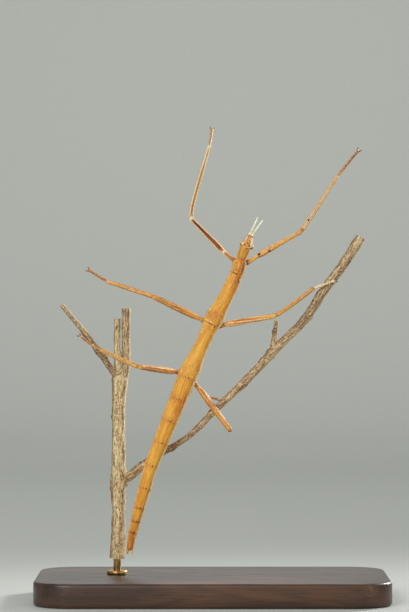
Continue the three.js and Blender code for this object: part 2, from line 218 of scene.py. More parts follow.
# ----------------------------------------------------------------------- Rod
# A short brass rod that stands in the base through a thin turned collar, and is pushed up into
# the cut end of the stem.

ROD_CHAMFER = 0.12 * MM
COLLAR_RADIUS = 2.1 * MM
COLLAR_HEIGHT = 0.9 * MM
COLLAR_EDGE = 0.3 * MM
BRASS_DARK = (150, 116, 62)
BRASS_LIGHT = (206, 170, 104)

brass, tree = new_material("satin brass", Metallic=1.0, Anisotropic=0.3)
tarnish = cloud(tree, "object", (700, 700, 700), 3.0)
turned = cloud(tree, "object", (300, 300, 20000), 1.0)
colour = ramp(tree, tarnish, (0.35, BRASS_DARK), (0.65, BRASS_LIGHT))
dulled = ramp(tree, tarnish, (0.3, 0.24), (0.7, 0.42))
set_finish(tree, colour, (turned, 0.004), roughness=dulled)

rod_low, rod_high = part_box("stand_rod")
rod_middle = (rod_low + rod_high) / 2
rod_radius = (rod_high.x - rod_low.x) / 2


def turned_pin(radius, foot, top, chamfer):
    """A round pin on the rod's own axis, from foot to top, with its ends chamfered."""
    select_only()
    middle = (rod_middle.x, rod_middle.y, (foot + top) / 2)
    bpy.ops.mesh.primitive_cylinder_add(vertices=48, radius=radius, depth=top - foot, location=middle)
    pin = bpy.context.object
    bpy.ops.object.transform_apply()
    pick(pin, "FACE", lambda face: abs(face.normal.z) > 0.9)
    bpy.ops.mesh.bevel(offset=chamfer, segments=3)
    bpy.ops.object.mode_set(mode="OBJECT")
    return pin


rod = turned_pin(rod_radius, rod_low.z, rod_high.z, ROD_CHAMFER)
finished(rod, "brass_rod", 40, brass)
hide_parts("stand_rod")
collar = turned_pin(COLLAR_RADIUS, high.z, high.z + COLLAR_HEIGHT, COLLAR_EDGE)
modify(collar, "BOOLEAN", operation="DIFFERENCE", object=rod, solver="MANIFOLD")
finished(collar, "brass_collar", 40, brass)

# ---------------------------------------------------------------------- Twig
# One forked length of dead twig with its bark on, cut clean at every end: a stem, two prongs, the
# branch that the insect grips, its stub and a side twig. The brass rod is pushed up its foot.

# Each row is (x, y, z, radius) in millimetres, from the foot or the fork to the cut end.
STEM = (
    (-19.55, 1.2, 8.3, 1.6), (-19.35, 1.2, 12, 1.46), (-19.25, 1.2, 18, 1.34), (-19.3, 1.2, 22.3, 1.55),
    (-19.15, 1.2, 24.4, 1.9), (-19.25, 1.2, 27, 1.45), (-19.25, 1.2, 34, 1.3), (-19.2, 1.2, 41, 1.38),
    (-18.95, 1.2, 44.4, 1.64), (-18.85, 1.2, 45.6, 1.54), (-18.8, 1.2, 46.5, 1.2), (-18.75, 1.2, 47.3, 0.5),
)
LEFT_PRONG = (
    (-19.2, 1.2, 44.5, 0.75), (-19.45, 1.2, 47.5, 0.68), (-19.55, 1.2, 52, 0.64), (-19.5, 1.2, 57.4, 0.65),
)
RIGHT_PRONG = (
    (-18.3, 1.2, 44.5, 0.9), (-17.8, 1.2, 47.5, 0.86), (-17.75, 1.2, 53, 0.82), (-17.7, 1.2, 59.5, 0.84),
)
BRANCH = (
    (-19.3, 1.2, 24.1, 1.1), (-16.7, 1.2, 25.4, 0.92), (-14.85, 1, 26.9, 0.84), (-11.6, 0.7, 29.2, 0.74),
    (-7.1, 1.1, 31.8, 0.6), (-4.4, 1.3, 33.7, 0.6), (-0.5, 1.4, 37.6, 0.68), (4, 1.5, 42, 0.74),
    (6.25, 1.5, 44.1, 0.84), (9.1, 1.5, 47, 0.84), (12.6, 1.5, 50.8, 0.98), (15.2, 1.5, 53.4, 0.86),
    (18.5, 1.4, 56.7, 0.88), (22.5, 1.4, 62.7, 0.94), (26.5, 1.4, 68.1, 1), (30.45, 1.4, 74.1, 1.04),
)
STUB = ((12.3, 1.5, 51.3, 0.6), (12.8, 1.5, 54.4, 0.48), (13.1, 1.5, 57, 0.44))
SIDE_TWIG = (
    (-19.3, 1.2, 45.3, 0.8), (-20.7, 0.4, 47.1, 0.68), (-22.25, -1.1, 49.4, 0.62), (-23.45, -2.1, 51, 0.74),
    (-24.1, -2.6, 52, 0.58), (-25.8, -3.4, 54.4, 0.54), (-28.35, -4.4, 57.4, 0.5), (-30.6, -5, 60.25, 0.47),
)
# Each length of wood is its rows, the faces round it, how pink and smooth its bark is, and its old
# leaf scars as (distance from its foot, degrees round from the front).
LENGTHS = (
    (STEM, 44, 0.1, ((4.5, -70), (10.5, 40), (14.2, 100), (15.4, -85), (22, -60), (29, 75), (33.5, -30),
                     (36.5, 80))),
    (LEFT_PRONG, 28, 0.05, ((6, -80),)),
    (RIGHT_PRONG, 30, 0.85, ((5, 85), (11, 60))),
    (BRANCH, 36, 0.9, ((6, 60), (13, -80), (24, 70), (33, -50), (41, 80), (52, -75), (57, 60), (66, -40),
                       (72, 80), (79, 30))),
    (STUB, 24, 0.6, ((3.4, 60),)),
    (SIDE_TWIG, 28, 0.95, ((5.5, -60), (12, 80))),
)
BARK_STEP = 0.25  # between rings of the mesh
BARK_THICKNESS = 0.16
CUT_DISH = 0.03  # how far the cut wood lies below the bark round it
# What the bark is carved with, as (height, how close across the wood, how close along it).
FURROWS = (0.1, 3.2, 0.35)
LUMPS = (0.12, 1.3, 0.6)
WARTS = (0.07, 1.7, 1.1)
WART_SIZE = 0.42
# Painted light on the bark: shade down the left flank of each length, and a highlight down its right flank.
BARK_PAINTED_SHADE = 0.7  # how dark its left flank is
BARK_PAINTED_HIGHLIGHT = 0.8  # how pale its right flank is
SCAR_HEIGHT = 0.24  # of the swelling under an old leaf stalk
SCAR_SIZE = 0.5
BORE_PLAY = 0.03
LIMB_APART = 200.0  # keeps the pattern of one limb from starting like the next one's
BARK_DARK = (50, 36, 28)
BARK_DEEP = (98, 70, 56)
BARK_BROWN = (138, 106, 72)
BARK_TAN = (214, 180, 126)
BARK_PALE = (246, 228, 182)
BARK_PINK = (154, 116, 90)
CUT_WOOD = (214, 190, 146)
CUT_WOOD_RING = (171, 138, 92)
YEAR_RINGS = 22.0  # how close they lie, from the middle out


def ridge(distance, width):
    """1 in the middle of a ridge or line, falling to 0 at about twice its width."""
    return np.exp(-((distance / width) ** 2))


def rise(distance, width):
    """0 before a line, and from there up to 1 over a width."""
    return np.clip(distance / width, 0, 1)


def around(angle, middle):
    """Degrees from one angle to another, the short way."""
    return (angle - middle + 180) % 360 - 180


def eased(places, rows):
    """Reads a table of (place, value) at each place and rounds the corners of what it gives."""
    values = np.interp(places, *zip(*rows))
    for _ in range(4):
        values[1:-1] = (values[:-2] + 2 * values[1:-1] + values[2:]) / 4
    return values


def limb(sides, places, widths, flatness=1.0, drops=0.0):
    """A closed limb straight up Z, with a ring at each place, and all sizes in millimetres."""
    rings = list(zip(*np.broadcast_arrays(places, widths, widths * flatness, drops)))
    place, width, thickness, drop = rings[0]
    select_only()
    start = (0, -drop * MM, place * MM)
    radius = width / 2 * MM
    bpy.ops.mesh.primitive_circle_add(vertices=sides, radius=radius, fill_type="NGON", location=start)
    piece = bpy.context.object
    bpy.ops.object.mode_set(mode="EDIT")
    bpy.ops.transform.resize(value=(1, thickness / width, 1), center_override=start)
    for before, ring in zip(rings, rings[1:]):
        shift = (0, (before[3] - ring[3]) * MM, (ring[0] - before[0]) * MM)
        bpy.ops.mesh.extrude_region_move(TRANSFORM_OT_translate={"value": shift})
        grown = (ring[1] / before[1], ring[2] / before[2], 1)
        bpy.ops.transform.resize(value=grown, center_override=(0, -ring[3] * MM, ring[0] * MM))
    bpy.ops.object.mode_set(mode="OBJECT")
    bpy.ops.object.transform_apply()
    return piece


def round_it(piece):
    """Where each vertex is on a straight limb: x, y, z in millimetres and degrees round from +Y."""
    places = np.empty(len(piece.data.vertices) * 3)
    piece.data.vertices.foreach_get("co", places)
    x, y, z = places.reshape(-1, 3).T / MM
    return x, y, z, np.degrees(np.arctan2(x, y))


def carve(piece, height):
    """Moves each vertex out along its normal by its height in millimetres."""
    count = len(piece.data.vertices) * 3
    places = np.empty(count)
    normals = np.empty(count)
    piece.data.vertices.foreach_get("co", places)
    piece.data.vertex_normals.foreach_get("vector", normals)
    places += normals * np.repeat(height, 3) * MM
    piece.data.vertices.foreach_set("co", places)
    piece.data.update()


def mark(piece, name, *columns):
    """Stores three numbers for each vertex, on the corners of its faces, where a weld keeps them."""
    corners = np.empty(len(piece.data.loops), dtype=np.int32)
    piece.data.loops.foreach_get("vertex_index", corners)
    rows = np.stack(np.broadcast_arrays(*columns), axis=1)[corners]
    attribute = piece.data.attributes.new(name, "FLOAT_VECTOR", "CORNER")
    attribute.data.foreach_set("vector", rows.astype(np.float32).ravel())


def lay(piece, points):
    """Bends a straight limb along points in millimetres, with its +Y side to the front."""
    curve = bpy.data.curves.new("line", "CURVE")
    curve.dimensions = "3D"
    curve.resolution_u = 32
    curve.twist_mode = "Z_UP"
    spline = curve.splines.new("BEZIER")
    spline.bezier_points.add(len(points) - 1)
    for knot, (x, y, z) in zip(spline.bezier_points, points):
        knot.co = Vector((x, z, -y)) * MM  # the front is up while the limb is bent
        knot.handle_left_type = "AUTO"
        knot.handle_right_type = "AUTO"
    line = bpy.data.objects.new("line", curve)
    bpy.context.collection.objects.link(line)
    modify(piece, "CURVE", object=line, deform_axis="POS_Z")
    bpy.data.objects.remove(line)
    select_only(piece)
    piece.rotation_euler = (math.pi / 2, 0, 0)
    bpy.ops.object.transform_apply()
    return piece


def weld(parts):
    """Joins overlapping solids into one."""
    whole, *others = parts
    for other in others:
        modify(whole, "BOOLEAN", operation="UNION", object=other, solver="MANIFOLD")
        bpy.data.objects.remove(other)
    return whole


def pattern_place(seat, pattern):
    """Where a point of the wood lies in a pattern that is finer across it than along it."""
    _, across, along = pattern
    return Vector((across * seat.x, across * seat.y, along * seat.z))


def wood(rows, sides, pinkness, scars, number):
    """A length of twig, straight while its bark is carved and its ends are cut, and then bent."""
    points = np.array(rows)[:, :3]
    reach = np.concatenate(([0], np.cumsum(np.linalg.norm(np.diff(points, axis=0), axis=1))))
    places = np.linspace(0, reach[-1], round(reach[-1] / BARK_STEP) + 1)
    widths = eased(places, [(place, 2 * row[3]) for place, row in zip(reach, rows)])
    piece = limb(sides, places, widths)
    x, y, z, angle = round_it(piece)
    radius = np.hypot(x, y)
    height = np.empty(len(x))
    for index, point in enumerate(zip(x / radius, y / radius, z + number * LIMB_APART)):
        seat = Vector(point)
        furrow = noise.noise(pattern_place(seat, FURROWS))
        lump = noise.noise(pattern_place(seat, LUMPS))
        wart = max(0.0, 1 - noise.voronoi(pattern_place(seat, WARTS))[0][0] / WART_SIZE)
        height[index] = FURROWS[0] * furrow + LUMPS[0] * lump + WARTS[0] * wart
    height *= np.minimum(radius, 1)
    scar_marks = np.zeros(len(x))
    for place, turn in scars:
        gap = np.hypot(z - place, np.radians(around(angle, turn)) * radius)
        height += SCAR_HEIGHT * (ridge(gap, SCAR_SIZE) - 0.5 * ridge(gap, SCAR_SIZE / 3))
        scar_marks += ridge(gap, SCAR_SIZE / 2)
    carve(piece, height)
    mark(piece, "grain", x, y, z + number * LIMB_APART)
    # Painted shade on the left flank, and below 0 a painted highlight on the right flank.
    painted_flank_shade_and_highlight = BARK_PAINTED_SHADE * rise(angle - 35, 30) * rise(165 - angle, 30)
    painted_flank_shade_and_highlight -= BARK_PAINTED_HIGHLIGHT * rise(-angle - 45, 20) * rise(150 + angle, 30)
    mark(piece, "marking", np.clip(scar_marks, 0, 1), pinkness + 0 * z, painted_flank_shade_and_highlight)
    piece.data.materials.append(bark)
    piece.data.materials.append(cut_wood)
    pick(piece, "FACE", lambda face: len(face.vertices) == sides)
    bpy.ops.mesh.inset(thickness=BARK_THICKNESS * MM, depth=-CUT_DISH * MM)
    piece.active_material_index = 1
    bpy.ops.object.material_slot_assign()
    bpy.ops.object.mode_set(mode="OBJECT")
    return lay(piece, points)


def channels(tree, name):
    """The three numbers that an attribute holds."""
    vector = put(tree, "Attribute", {}, attribute_name=name).outputs["Vector"]
    return put(tree, "SeparateXYZ", {"Vector": vector}).outputs


def maths(tree, operation, first, second=0.0, clamp=False):
    """One sum on one or two values."""
    node = put(tree, "Math", {0: first, 1: second}, operation=operation, use_clamp=clamp)
    return node.outputs[0]


bark, tree = new_material("dry bark", Specular_IOR_Level=0.3)
patches = cloud(tree, "grain", (0.5, 0.5, 0.2), 3.0)
strands = cloud(tree, "grain", (3.4, 3.4, 0.5), 5.0, 0.6)
grit = cloud(tree, "grain", (5, 5, 2.6), 4.0)
cracks = cloud(tree, "grain", (6, 6, 0.8), 2.0, 0.3)
cells = put(tree, "TexVoronoi", {"Vector": place_on(tree, "grain", (1.5, 1.5, 1.2)), "Scale": 1.0}).outputs
scar, pinkness, painted_flank_shade_and_highlight = channels(tree, "marking")
pinker = maths(tree, "MULTIPLY", pinkness, ramp(tree, patches, (0.38, 0.5), (0.62, 1.0)))
ragged = maths(tree, "ADD", grit, cells["Distance"])
lone = ramp(tree, cells["Color"], (0.57, 0.0), (0.61, 0.9))
colour = layered(
    tree, ramp(tree, strands, (0.35, BARK_BROWN), (0.48, BARK_TAN), (0.63, BARK_PALE)),
    (pinker, ramp(tree, strands, (0.32, BARK_DEEP), (0.5, BARK_PINK), (0.72, BARK_TAN))),
    # Painted shade on the left flank, and a painted highlight in pale bark on the right flank.
    (painted_flank_shade_and_highlight, BARK_DEEP),
    (maths(tree, "MULTIPLY", painted_flank_shade_and_highlight, -1.0, clamp=True), BARK_PALE),
    (ramp(tree, patches, (0.52, 0.0), (0.7, 0.45)), BARK_BROWN),
    (ramp(tree, grit, (0.53, 0.0), (0.64, 0.65)), BARK_PALE),
    (ramp(tree, grit, (0.36, 0.5), (0.47, 0.0)), BARK_DEEP),
    (ramp(tree, cracks, (0.32, 0.62), (0.4, 0.0)), BARK_DARK),
    (maths(tree, "MULTIPLY", ramp(tree, ragged, (0.56, 1.0), (0.68, 0.0)), lone), BARK_DARK),
    (maths(tree, "MULTIPLY", scar, 0.8), BARK_DARK),
)
worn = ramp(tree, grit, (0.4, 0.9), (0.62, 0.68))
set_finish(tree, colour, (strands, 0.14), (grit, 0.08), (cracks, 0.08), roughness=worn)

cut_wood, tree = new_material("cut wood", Roughness=0.8)
from_pith = put(tree, "VectorMath", {0: place_on(tree, "grain", (1, 1, 0))}, operation="LENGTH")
years = maths(tree, "SINE", maths(tree, "MULTIPLY", from_pith.outputs["Value"], YEAR_RINGS))
fibre = cloud(tree, "grain", (12, 12, 2), 2.0)
colour = layered(
    tree, ramp(tree, years, (0.1, CUT_WOOD), (0.95, CUT_WOOD_RING)),
    (ramp(tree, fibre, (0.4, 0.0), (0.7, 0.6)), CUT_WOOD_RING),
)
set_finish(tree, colour, (fibre, 0.02))

twig = weld([wood(*length, number) for number, length in enumerate(LENGTHS)])
bore_foot = STEM[0][2] * MM - 2 * rod_radius
bore = turned_pin(rod_radius + BORE_PLAY * MM, bore_foot, rod_high.z + BORE_PLAY * MM, ROD_CHAMFER)
modify(twig, "BOOLEAN", operation="DIFFERENCE", object=bore, solver="MANIFOLD")
bpy.data.objects.remove(bore)
finished(twig, "twig", 50)
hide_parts("perch_stem", "perch_branch", "perch_twig")

# ---------------------------------------------------------------------- Skin
# The insect under one cuticle, cast in tinted resin: the body, mouthparts, legs and feet. Each limb
# is turned straight, ring by ring, marked, bent to its pose and then welded to the body.

# Directions are two angles in degrees: turn is clockwise from straight up, seen from the front, and
# lean is out of that plane, away from the viewer. All sizes are in millimetres.
HEAD_FRONT = (7.7, -3, 74.3)
# The body's parts from head to tail as (length, turn, flatness, rings). A ring is (share of the
# part, width), and flatness is the thickness over the width.
BODY = (
    (5.1, 21.5, 0.92, ((0.1, 1.45), (0.25, 2.05), (0.4, 2.35), (0.6, 2.3), (0.8, 2.2), (0.97, 2.05))),
    (3.2, 17.3, 0.9, ((0.04, 2.25), (0.15, 2.7), (0.4, 2.95), (0.75, 2.9), (0.96, 2.75))),
    (11.3, 26.4, 0.88, ((0.01, 2.75), (0.1, 2.95), (0.45, 3.05), (0.68, 3.35), (0.86, 4.1), (0.98, 3.75))),
    (12.2, 24.6, 0.86, ((0.01, 3.6), (0.12, 3.2), (0.4, 3.05), (0.62, 3.35), (0.8, 4.1), (0.9, 4.15),
                        (0.99, 4.05))),
    (4.8, 22.3, 0.88, ((0.02, 4.05), (0.5, 3.85), (0.98, 3.75))),
    (4.75, 22.2, 0.9, ((0.02, 3.75), (0.5, 3.6), (0.98, 3.55))),
    (4.75, 21.8, 0.9, ((0.02, 3.5), (0.5, 3.35), (0.98, 3.3))),
    (5.05, 22, 0.9, ((0.02, 3.25), (0.5, 3), (0.98, 2.9))),
    (4.75, 16.3, 0.9, ((0.02, 2.85), (0.5, 2.65), (0.98, 2.7))),
    (4.15, 16, 0.9, ((0.02, 2.65), (0.5, 2.5), (0.98, 2.4))),
    (2.85, 14.5, 0.92, ((0.02, 2.4), (0.5, 2.2), (0.98, 2.05))),
    (2.3, 14.8, 0.92, ((0.02, 2), (0.5, 1.85), (0.98, 1.85))),
    (3.6, 9.7, 0.88, ((0.02, 1.8), (0.5, 1.65), (0.9, 1.45), (1, 1.1))),
)
HEAD = 0
METATHORAX = 3
TAIL = len(BODY) - 1
LAST_LAPS = 10  # from here on the seams between the parts show dark
BODY_STEP = 0.16
BODY_SIDES = 64
NECK_PINCH = 0.2
SNOUT_WIDTH = 1.0
SNOUT_LENGTH = 0.5  # over which the head rounds off
STERN_LENGTH = 0.6  # and the tail
HEAD_DROPS = ((0, 0.45), (0.1, 0.35), (0.25, 0.2), (0.4, 0.08), (0.6, 0))  # (share, towards the belly)
BACK_EDGE = 66  # degrees round from the middle of the back
FLANK_GROOVE = 96
# Spots on the back as (across, distance from the front of the head, size), and how dark some are.
DARK_SPOTS = (
    (0.02, 1.62, 0.17, 1.1), (0.5, 2.0, 0.2, 0.95), (-0.5, 2.1, 0.18, 0.95), (0.3, 2.75, 0.2, 0.95),
    (-0.78, 1.5, 0.14, 0.95), (0.75, 19.95, 0.2, 0.9),
)
RUSTY_SPOTS = ((0.75, 6.2, 0.3), (1.05, 7.1, 0.35), (-0.2, 7.5, 0.2), (0.9, 9.1, 0.3), (1.2, 9.9, 0.3))
GRANULES = ((8.5, 10.3, 16), (16.8, 19.4, 26), (19.9, 22.2, 16), (29.2, 31.6, 22))  # (from, to, how many)
PORES = 70
SCATTER_SEED = 7

EYE = {"place": 2.09, "radius": 0.44, "spacing": 2.06, "raise": 0.15}
# Rows are widths along a limb as (share of its length, width), and a mesh is the faces round it and
# the step between its rings.
MOUTH = {"from": 0.25, "to": 2.6, "drop": 0.85, "flatness": 0.75, "lip": 0.75}
MOUTH_MESH = (32, 0.12)
MOUTH_ROWS = ((0, 0.5), (0.15, 1.05), (0.45, 1.35), (0.75, 1.15), (1, 0.6))
PALP = {"place": 1.53, "offset": 0.4, "drop": 1.1, "splay": 12, "lean": 55, "length": 1.45}
PALP_MESH = (16, 0.06)
PALP_ROWS = ((0, 0.55), (0.26, 0.5), (0.3, 0.38), (0.5, 0.54), (0.56, 0.36), (0.8, 0.5), (1, 0.36))
CERCUS = {"place": 0.9, "offset": 0.35, "turn": 186, "splay": 6, "lean": 4, "length": 1.15}
CERCUS_MESH = (20, 0.06)
CERCUS_ROWS = ((0, 0.62), (0.5, 0.56), (0.8, 0.44), (1, 0.3))
SCOOP = {"from": 0.2, "to": 0.75, "drop": 0.75, "flatness": 0.62}
SCOOP_PART = 10  # it runs from this part of the body into the tail
SCOOP_MESH = (32, 0.12)
SCOOP_ROWS = ((0, 1.22), (0.15, 1.75), (0.6, 1.66), (0.9, 1.22), (1, 0.52))
ANTENNA = {"length": 4.05, "drop": 0.1}
ANTENNA_PLACES = {"left": (27, -4, -0.28, -0.1), "right": (33.5, -6, 0.3, 0.12)}  # turn, lean, offset, sway
SOCKET_DEPTH = 0.9
SOCKET_LENGTH = 0.22
SOCKET_MESH = (24, 0.07)
SOCKET_ROWS = ((0, 0.64), (1, 0.64))

# Each leg is its kind and the place of its hip, then its bones, its tints, and its keels. The bones
# are the bent root of the femur, the straight femur, the tibia, and two lengths of foot, as (length,
# turn, lean). The tints are those of the femur, tibia and foot, as (red, olive, dark between the
# keels, pale on the keels, speckle), from 0 to 1. On the femur and tibia the dark between the keels
# is partly painted shade in the grooves, and the pale on the keels partly painted highlight along
# the ridges. The keels are how far they are turned round the femur from its front, and how much
# further by its end, in degrees.
LEGS = (
    ("fore", (4.4, -2, 69.1),  # left
     ((3.4, -47.3, 10.2), (10.25, -44.1, 25.4), (15.5, 14.6, 1.1), (3.3, 9.9, 42.2), (3.3, 4.8, 66.2)),
     ((1, 0, 0.5, 0.8, 0.05), (0.35, 0, 0.3, 1, 0.35), (0.45, 0, 0.25, 0.3, 0.7)), (0, 0)),
    ("fore", (6.9, -2, 68.5),  # right
     ((3.8, 55.3, 0), (9.2, 60.9, -3.1), (15.9, 33.5, 28), (4.9, 38.8, 17.6), (2.3, 41.2, 12.6)),
     ((0.2, 0, 0.2, 0.45, 0.1), (0.3, 0, 0.3, 0.7, 0.2), (0.65, 0, 0.25, 0.3, 0.3)), (25, -30)),
    ("middle", (-2.25, -2, 57.25),  # left
     ((1.5, -65.2, 0), (9.7, -64.5, -13.1), (10.8, -72, 22.8), (2.7, -59.5, 12.8), (1.9, -56.5, 12.1)),
     ((0.3, 0, 0.36, 0.34, 0.1), (0.22, 0, 0.32, 0.45, 0.15), (0.6, 0, 0.4, 0.3, 0.4)), (35, -10)),
    ("middle", (1.7, -1.8, 55.7),  # right
     ((1.7, 66.6, -24.3), (10.5, 79.8, -20.6), (11.2, 54.7, 30), (2.25, 70.8, 11.6), (2.4, 70, 3.6)),
     ((0.12, 0, 0.22, 0.55, 0.1), (0.18, 0, 0.2, 0.4, 0.15), (0.3, 0, 0.05, 1, 0.5)), (20, 80)),
    ("hind", (-6.75, -1.8, 46.65),  # left
     ((2, -88.5, -48.9), (11.3, -80.5, -53.6), (12.15, -67.6, 43.1), (2.5, -63.4, -2.3), (2.7, -47, -15.1)),
     ((0.22, 0, 0.32, 0.36, 0.1), (0.22, 0, 0.3, 0.45, 0.15), (0.45, 0, 0.2, 0.4, 0.4)), (30, 10)),
    ("hind", (-3.7, -1.8, 44.5),  # right
     ((2, 144, -12.1), (10.7, 143, -19.5), (11.2, -38.5, 46), (1.8, 64.9, 41.3), (2.6, 118.3, -11)),
     ((0.3, 0.15, 0.3, 0.28, 0.15), (0.3, 0.2, 0.3, 0.4, 0.2), (0.4, 0.2, 0.2, 0.4, 0.4)), (15, 20)),
)
STRAIGHT_FROM = 0.25  # share of the femur past its root where it runs straight
KNEE_REACH = 0.4
KNEE_SIDE = 0.35
KNEE_LAP = 0.3  # how far the tibia goes on into the femur
ANKLE_LAPS = (0.1, 0.25)  # and it into the foot, and the foot into it
KNEE_CURVE = 0.06  # share of the tibia in which it curves out of the knee
HIP_DEPTH = 0.7  # how far the leg goes on into the body
HIP_SINK = 0.35  # how far the hip is sunk to the middle of the body, as a share of the way
HIP_TURN = 0.45  # how much further its inner end is
# Widths along each bone as (share of its length, width). The fore femur is thin at its root.
FEMUR_ROWS = {
    "fore": ((0, 1.15), (0.06, 1.1), (0.11, 0.82), (0.22, 0.82), (0.26, 1), (0.31, 1.32), (0.42, 1.26),
             (0.6, 1.12), (0.92, 0.88), (0.965, 1), (1, 0.72)),
    "middle": ((0, 1.3), (0.06, 1.15), (0.1, 0.8), (0.15, 0.9), (0.22, 1.24), (0.6, 1.22), (0.9, 1),
               (0.96, 1.12), (1, 0.8)),
    "hind": ((0, 1.35), (0.06, 1.2), (0.1, 0.8), (0.16, 0.92), (0.24, 1.24), (0.6, 1.2), (0.9, 0.98),
             (0.96, 1.1), (1, 0.8)),
}
TIBIA_ROWS = {
    "fore": ((0, 0.6), (0.03, 0.92), (0.09, 0.86), (0.5, 0.84), (0.94, 0.72), (0.98, 0.8), (1, 0.6)),
    "middle": ((0, 0.6), (0.04, 0.92), (0.1, 0.84), (0.5, 0.86), (0.93, 0.78), (0.975, 0.88), (1, 0.64)),
    "hind": ((0, 0.62), (0.04, 0.95), (0.1, 0.88), (0.5, 0.88), (0.93, 0.8), (0.975, 0.9), (1, 0.66)),
}
LEG_MESH = (36, 0.18)
KEELS = (-54, 0, 54, 124, -124)  # round each bone from its front
KEEL_HEIGHT = 0.07
KNEE_GROOVE = 0.05
FOOT_JOINTS = (0, 0.42, 0.58, 0.7, 0.8, 1)
FOOT_MESH = (16, 0.09)
FOOT_WAIST = 0.44
FOOT_BELLY = 0.6
FOOT_END = 0.6
TOE_PAD = 0.12

# Each femur is numbered 20, 30 and so on in the order of the legs, its tibia is the next number, and
# its foot the one after. Some bones have pale ends, a purple hip or dark spots, and a spot is (share
# of the bone's length, degrees round from its front).
PALE_ENDED = (20, 21)
PURPLE_HIPPED = (30, 50, 70)
SPOTTED = {30: ((0.27, 20), (0.43, -25)), 31: ((0.2, 10),)}
FEMUR_JOINTS = {"fore": (0.25, 0.93), "middle": (0.1, 0.93), "hind": (0.11, 0.93)}  # shares of its length
TIBIA_JOINTS = (0.04, 0.95)

OCHRE_DEEP = (184, 100, 22)
OCHRE = (218, 138, 32)
OCHRE_LIGHT = (240, 176, 56)
GOLDEN_HIGHLIGHT = (246, 188, 70)
RUST = (142, 66, 30)
RUST_LIGHT = (206, 112, 42)
OLIVE = (168, 132, 62)
PURPLE = (86, 48, 42)
CREAM = (246, 222, 176)
UMBER = (48, 25, 14)


def direction(turn, lean):
    """A step one long, from its two angles."""
    across = math.radians(turn)
    away = math.radians(lean)
    return Vector((math.sin(across) * math.cos(away), math.sin(away), math.cos(across) * math.cos(away)))


def rounded(distance, reach, least):
    """How wide a round end is at a distance from its tip, as a share of its full width."""
    share = np.clip(distance / reach, least, 1)
    return np.sqrt(1 - (1 - share) ** 2)


def turned_limb(mesh, length, rows, dome=True, flatness=1.0, lead=0.0):
    """A straight limb from its rows, with rounded ends.

    lead is a length at its root that goes on into the body, before the rows start.
    """
    sides, step = mesh
    places = np.linspace(0, length, round(length / step) + 1)
    widths = eased((places - lead) / (length - lead), rows)
    if dome:
        widths = widths * rounded(np.minimum(places, length - places), widths / 2, 0.03)
    return limb(sides, places, widths, flatness)


def skin_marks(piece, number, x, y, z, dark=0.0, pale=0.0, speckle=0.0, red=0.0, olive=0.0, purple_and_highlight=0.0):
    """Stores how the skin's pattern runs, and its markings and tints. Purple below 0 is a painted golden
    highlight.
    """
    mark(piece, "grain", x, y, z + number * LIMB_APART)
    mark(piece, "marking", np.clip(dark, 0, 1), np.clip(pale, 0, 1), np.clip(speckle, 0, 1) + 0 * z)
    mark(piece, "tint", np.clip(red, 0, 1), np.clip(olive, 0, 1), np.clip(purple_and_highlight, -1, 1) + 0 * z)


# The body, head to tail. Its parts lap over each other a little, from the head backwards.
part_ends = np.cumsum([0] + [length for length, *_ in BODY])
axis = [Vector(HEAD_FRONT)]
for length, turn, *_ in BODY:
    axis.append(axis[-1] - direction(turn, 0) * length)

width_rows = [(0, SNOUT_WIDTH)]
flat_rows = []
for (length, _, flatness, rows), start in zip(BODY, part_ends):
    width_rows += [(start + share * length, width) for share, width in rows]
    flat_rows.append((start + length / 2, flatness))
neck, front_joint, rear_joint, waist = part_ends[1:5]  # behind the head and each part of the thorax
body_length = part_ends[-1]
places = np.linspace(0, body_length, round(body_length / BODY_STEP) + 1)
widths = eased(places, width_rows) - NECK_PINCH * ridge(places - neck, 0.25)
widths = widths * rounded(places, SNOUT_LENGTH, 0.02) * rounded(body_length - places, STERN_LENGTH, 0.05)
drops = eased(places, [(share * BODY[HEAD][0], drop) for share, drop in HEAD_DROPS])
body = limb(BODY_SIDES, places, widths, np.interp(places, *zip(*flat_rows)), drops)

x, y, z, _ = round_it(body)
y_middle = y + np.interp(z, places, drops)
angle = np.degrees(np.arctan2(x, y_middle))
off_back = np.abs(angle)
back = np.clip(1 - off_back / 100, 0, 1)  # 1 along the back, 0 from the flanks down
on_back = (off_back < 95).astype(float)
edge_gap = off_back - BACK_EDGE
groove_gap = off_back - FLANK_GROOVE
on_head = (z < neck).astype(float)
behind_head = (z > neck).astype(float)

height = 0.05 * ridge(angle, 5) + 0.06 * ridge(edge_gap, 8) - 0.06 * ridge(groove_gap, 9)
height = (height - 0.08 * ridge(off_back - 180, 25)) * behind_head
# Painted light and shade along the body: the dark in the flank grooves and the dark line down the left flank
# are painted shade, the rusty band right of the middle of the back is painted shade, and the pale back edges
# are the keels' own colour on the left, made stronger on the right as a painted highlight.
dark = (0.35 * ridge(groove_gap, 12) + 0.3 * ridge(angle + 78, 9)) * behind_head
pale = ridge(edge_gap, 10) * behind_head * np.where(x > 0, 0.95, 0.4)
red = (0.25 * ridge(groove_gap, 14) + 0.3 * ridge(angle - 42, 15)) * behind_head
speckle = 0.1 + 0 * z
olive = 0.35 * (off_back > 110)
# Below 0 this is a painted golden highlight on the middle of the back, on the metathorax and on the abdomen.
purple_and_highlight = -0.75 * ridge(angle + 8, 55) * ridge(z - 26, 5)  # golden in the middle of the metathorax
purple_and_highlight -= 0.45 * ridge(angle, 60) * ridge(z - 50, 7)  # and of the abdomen


def spot(across, along, size):
    """A round spot on the back, across the middle line and along the body."""
    return ridge(np.hypot(x - across, z - along), size) * on_back


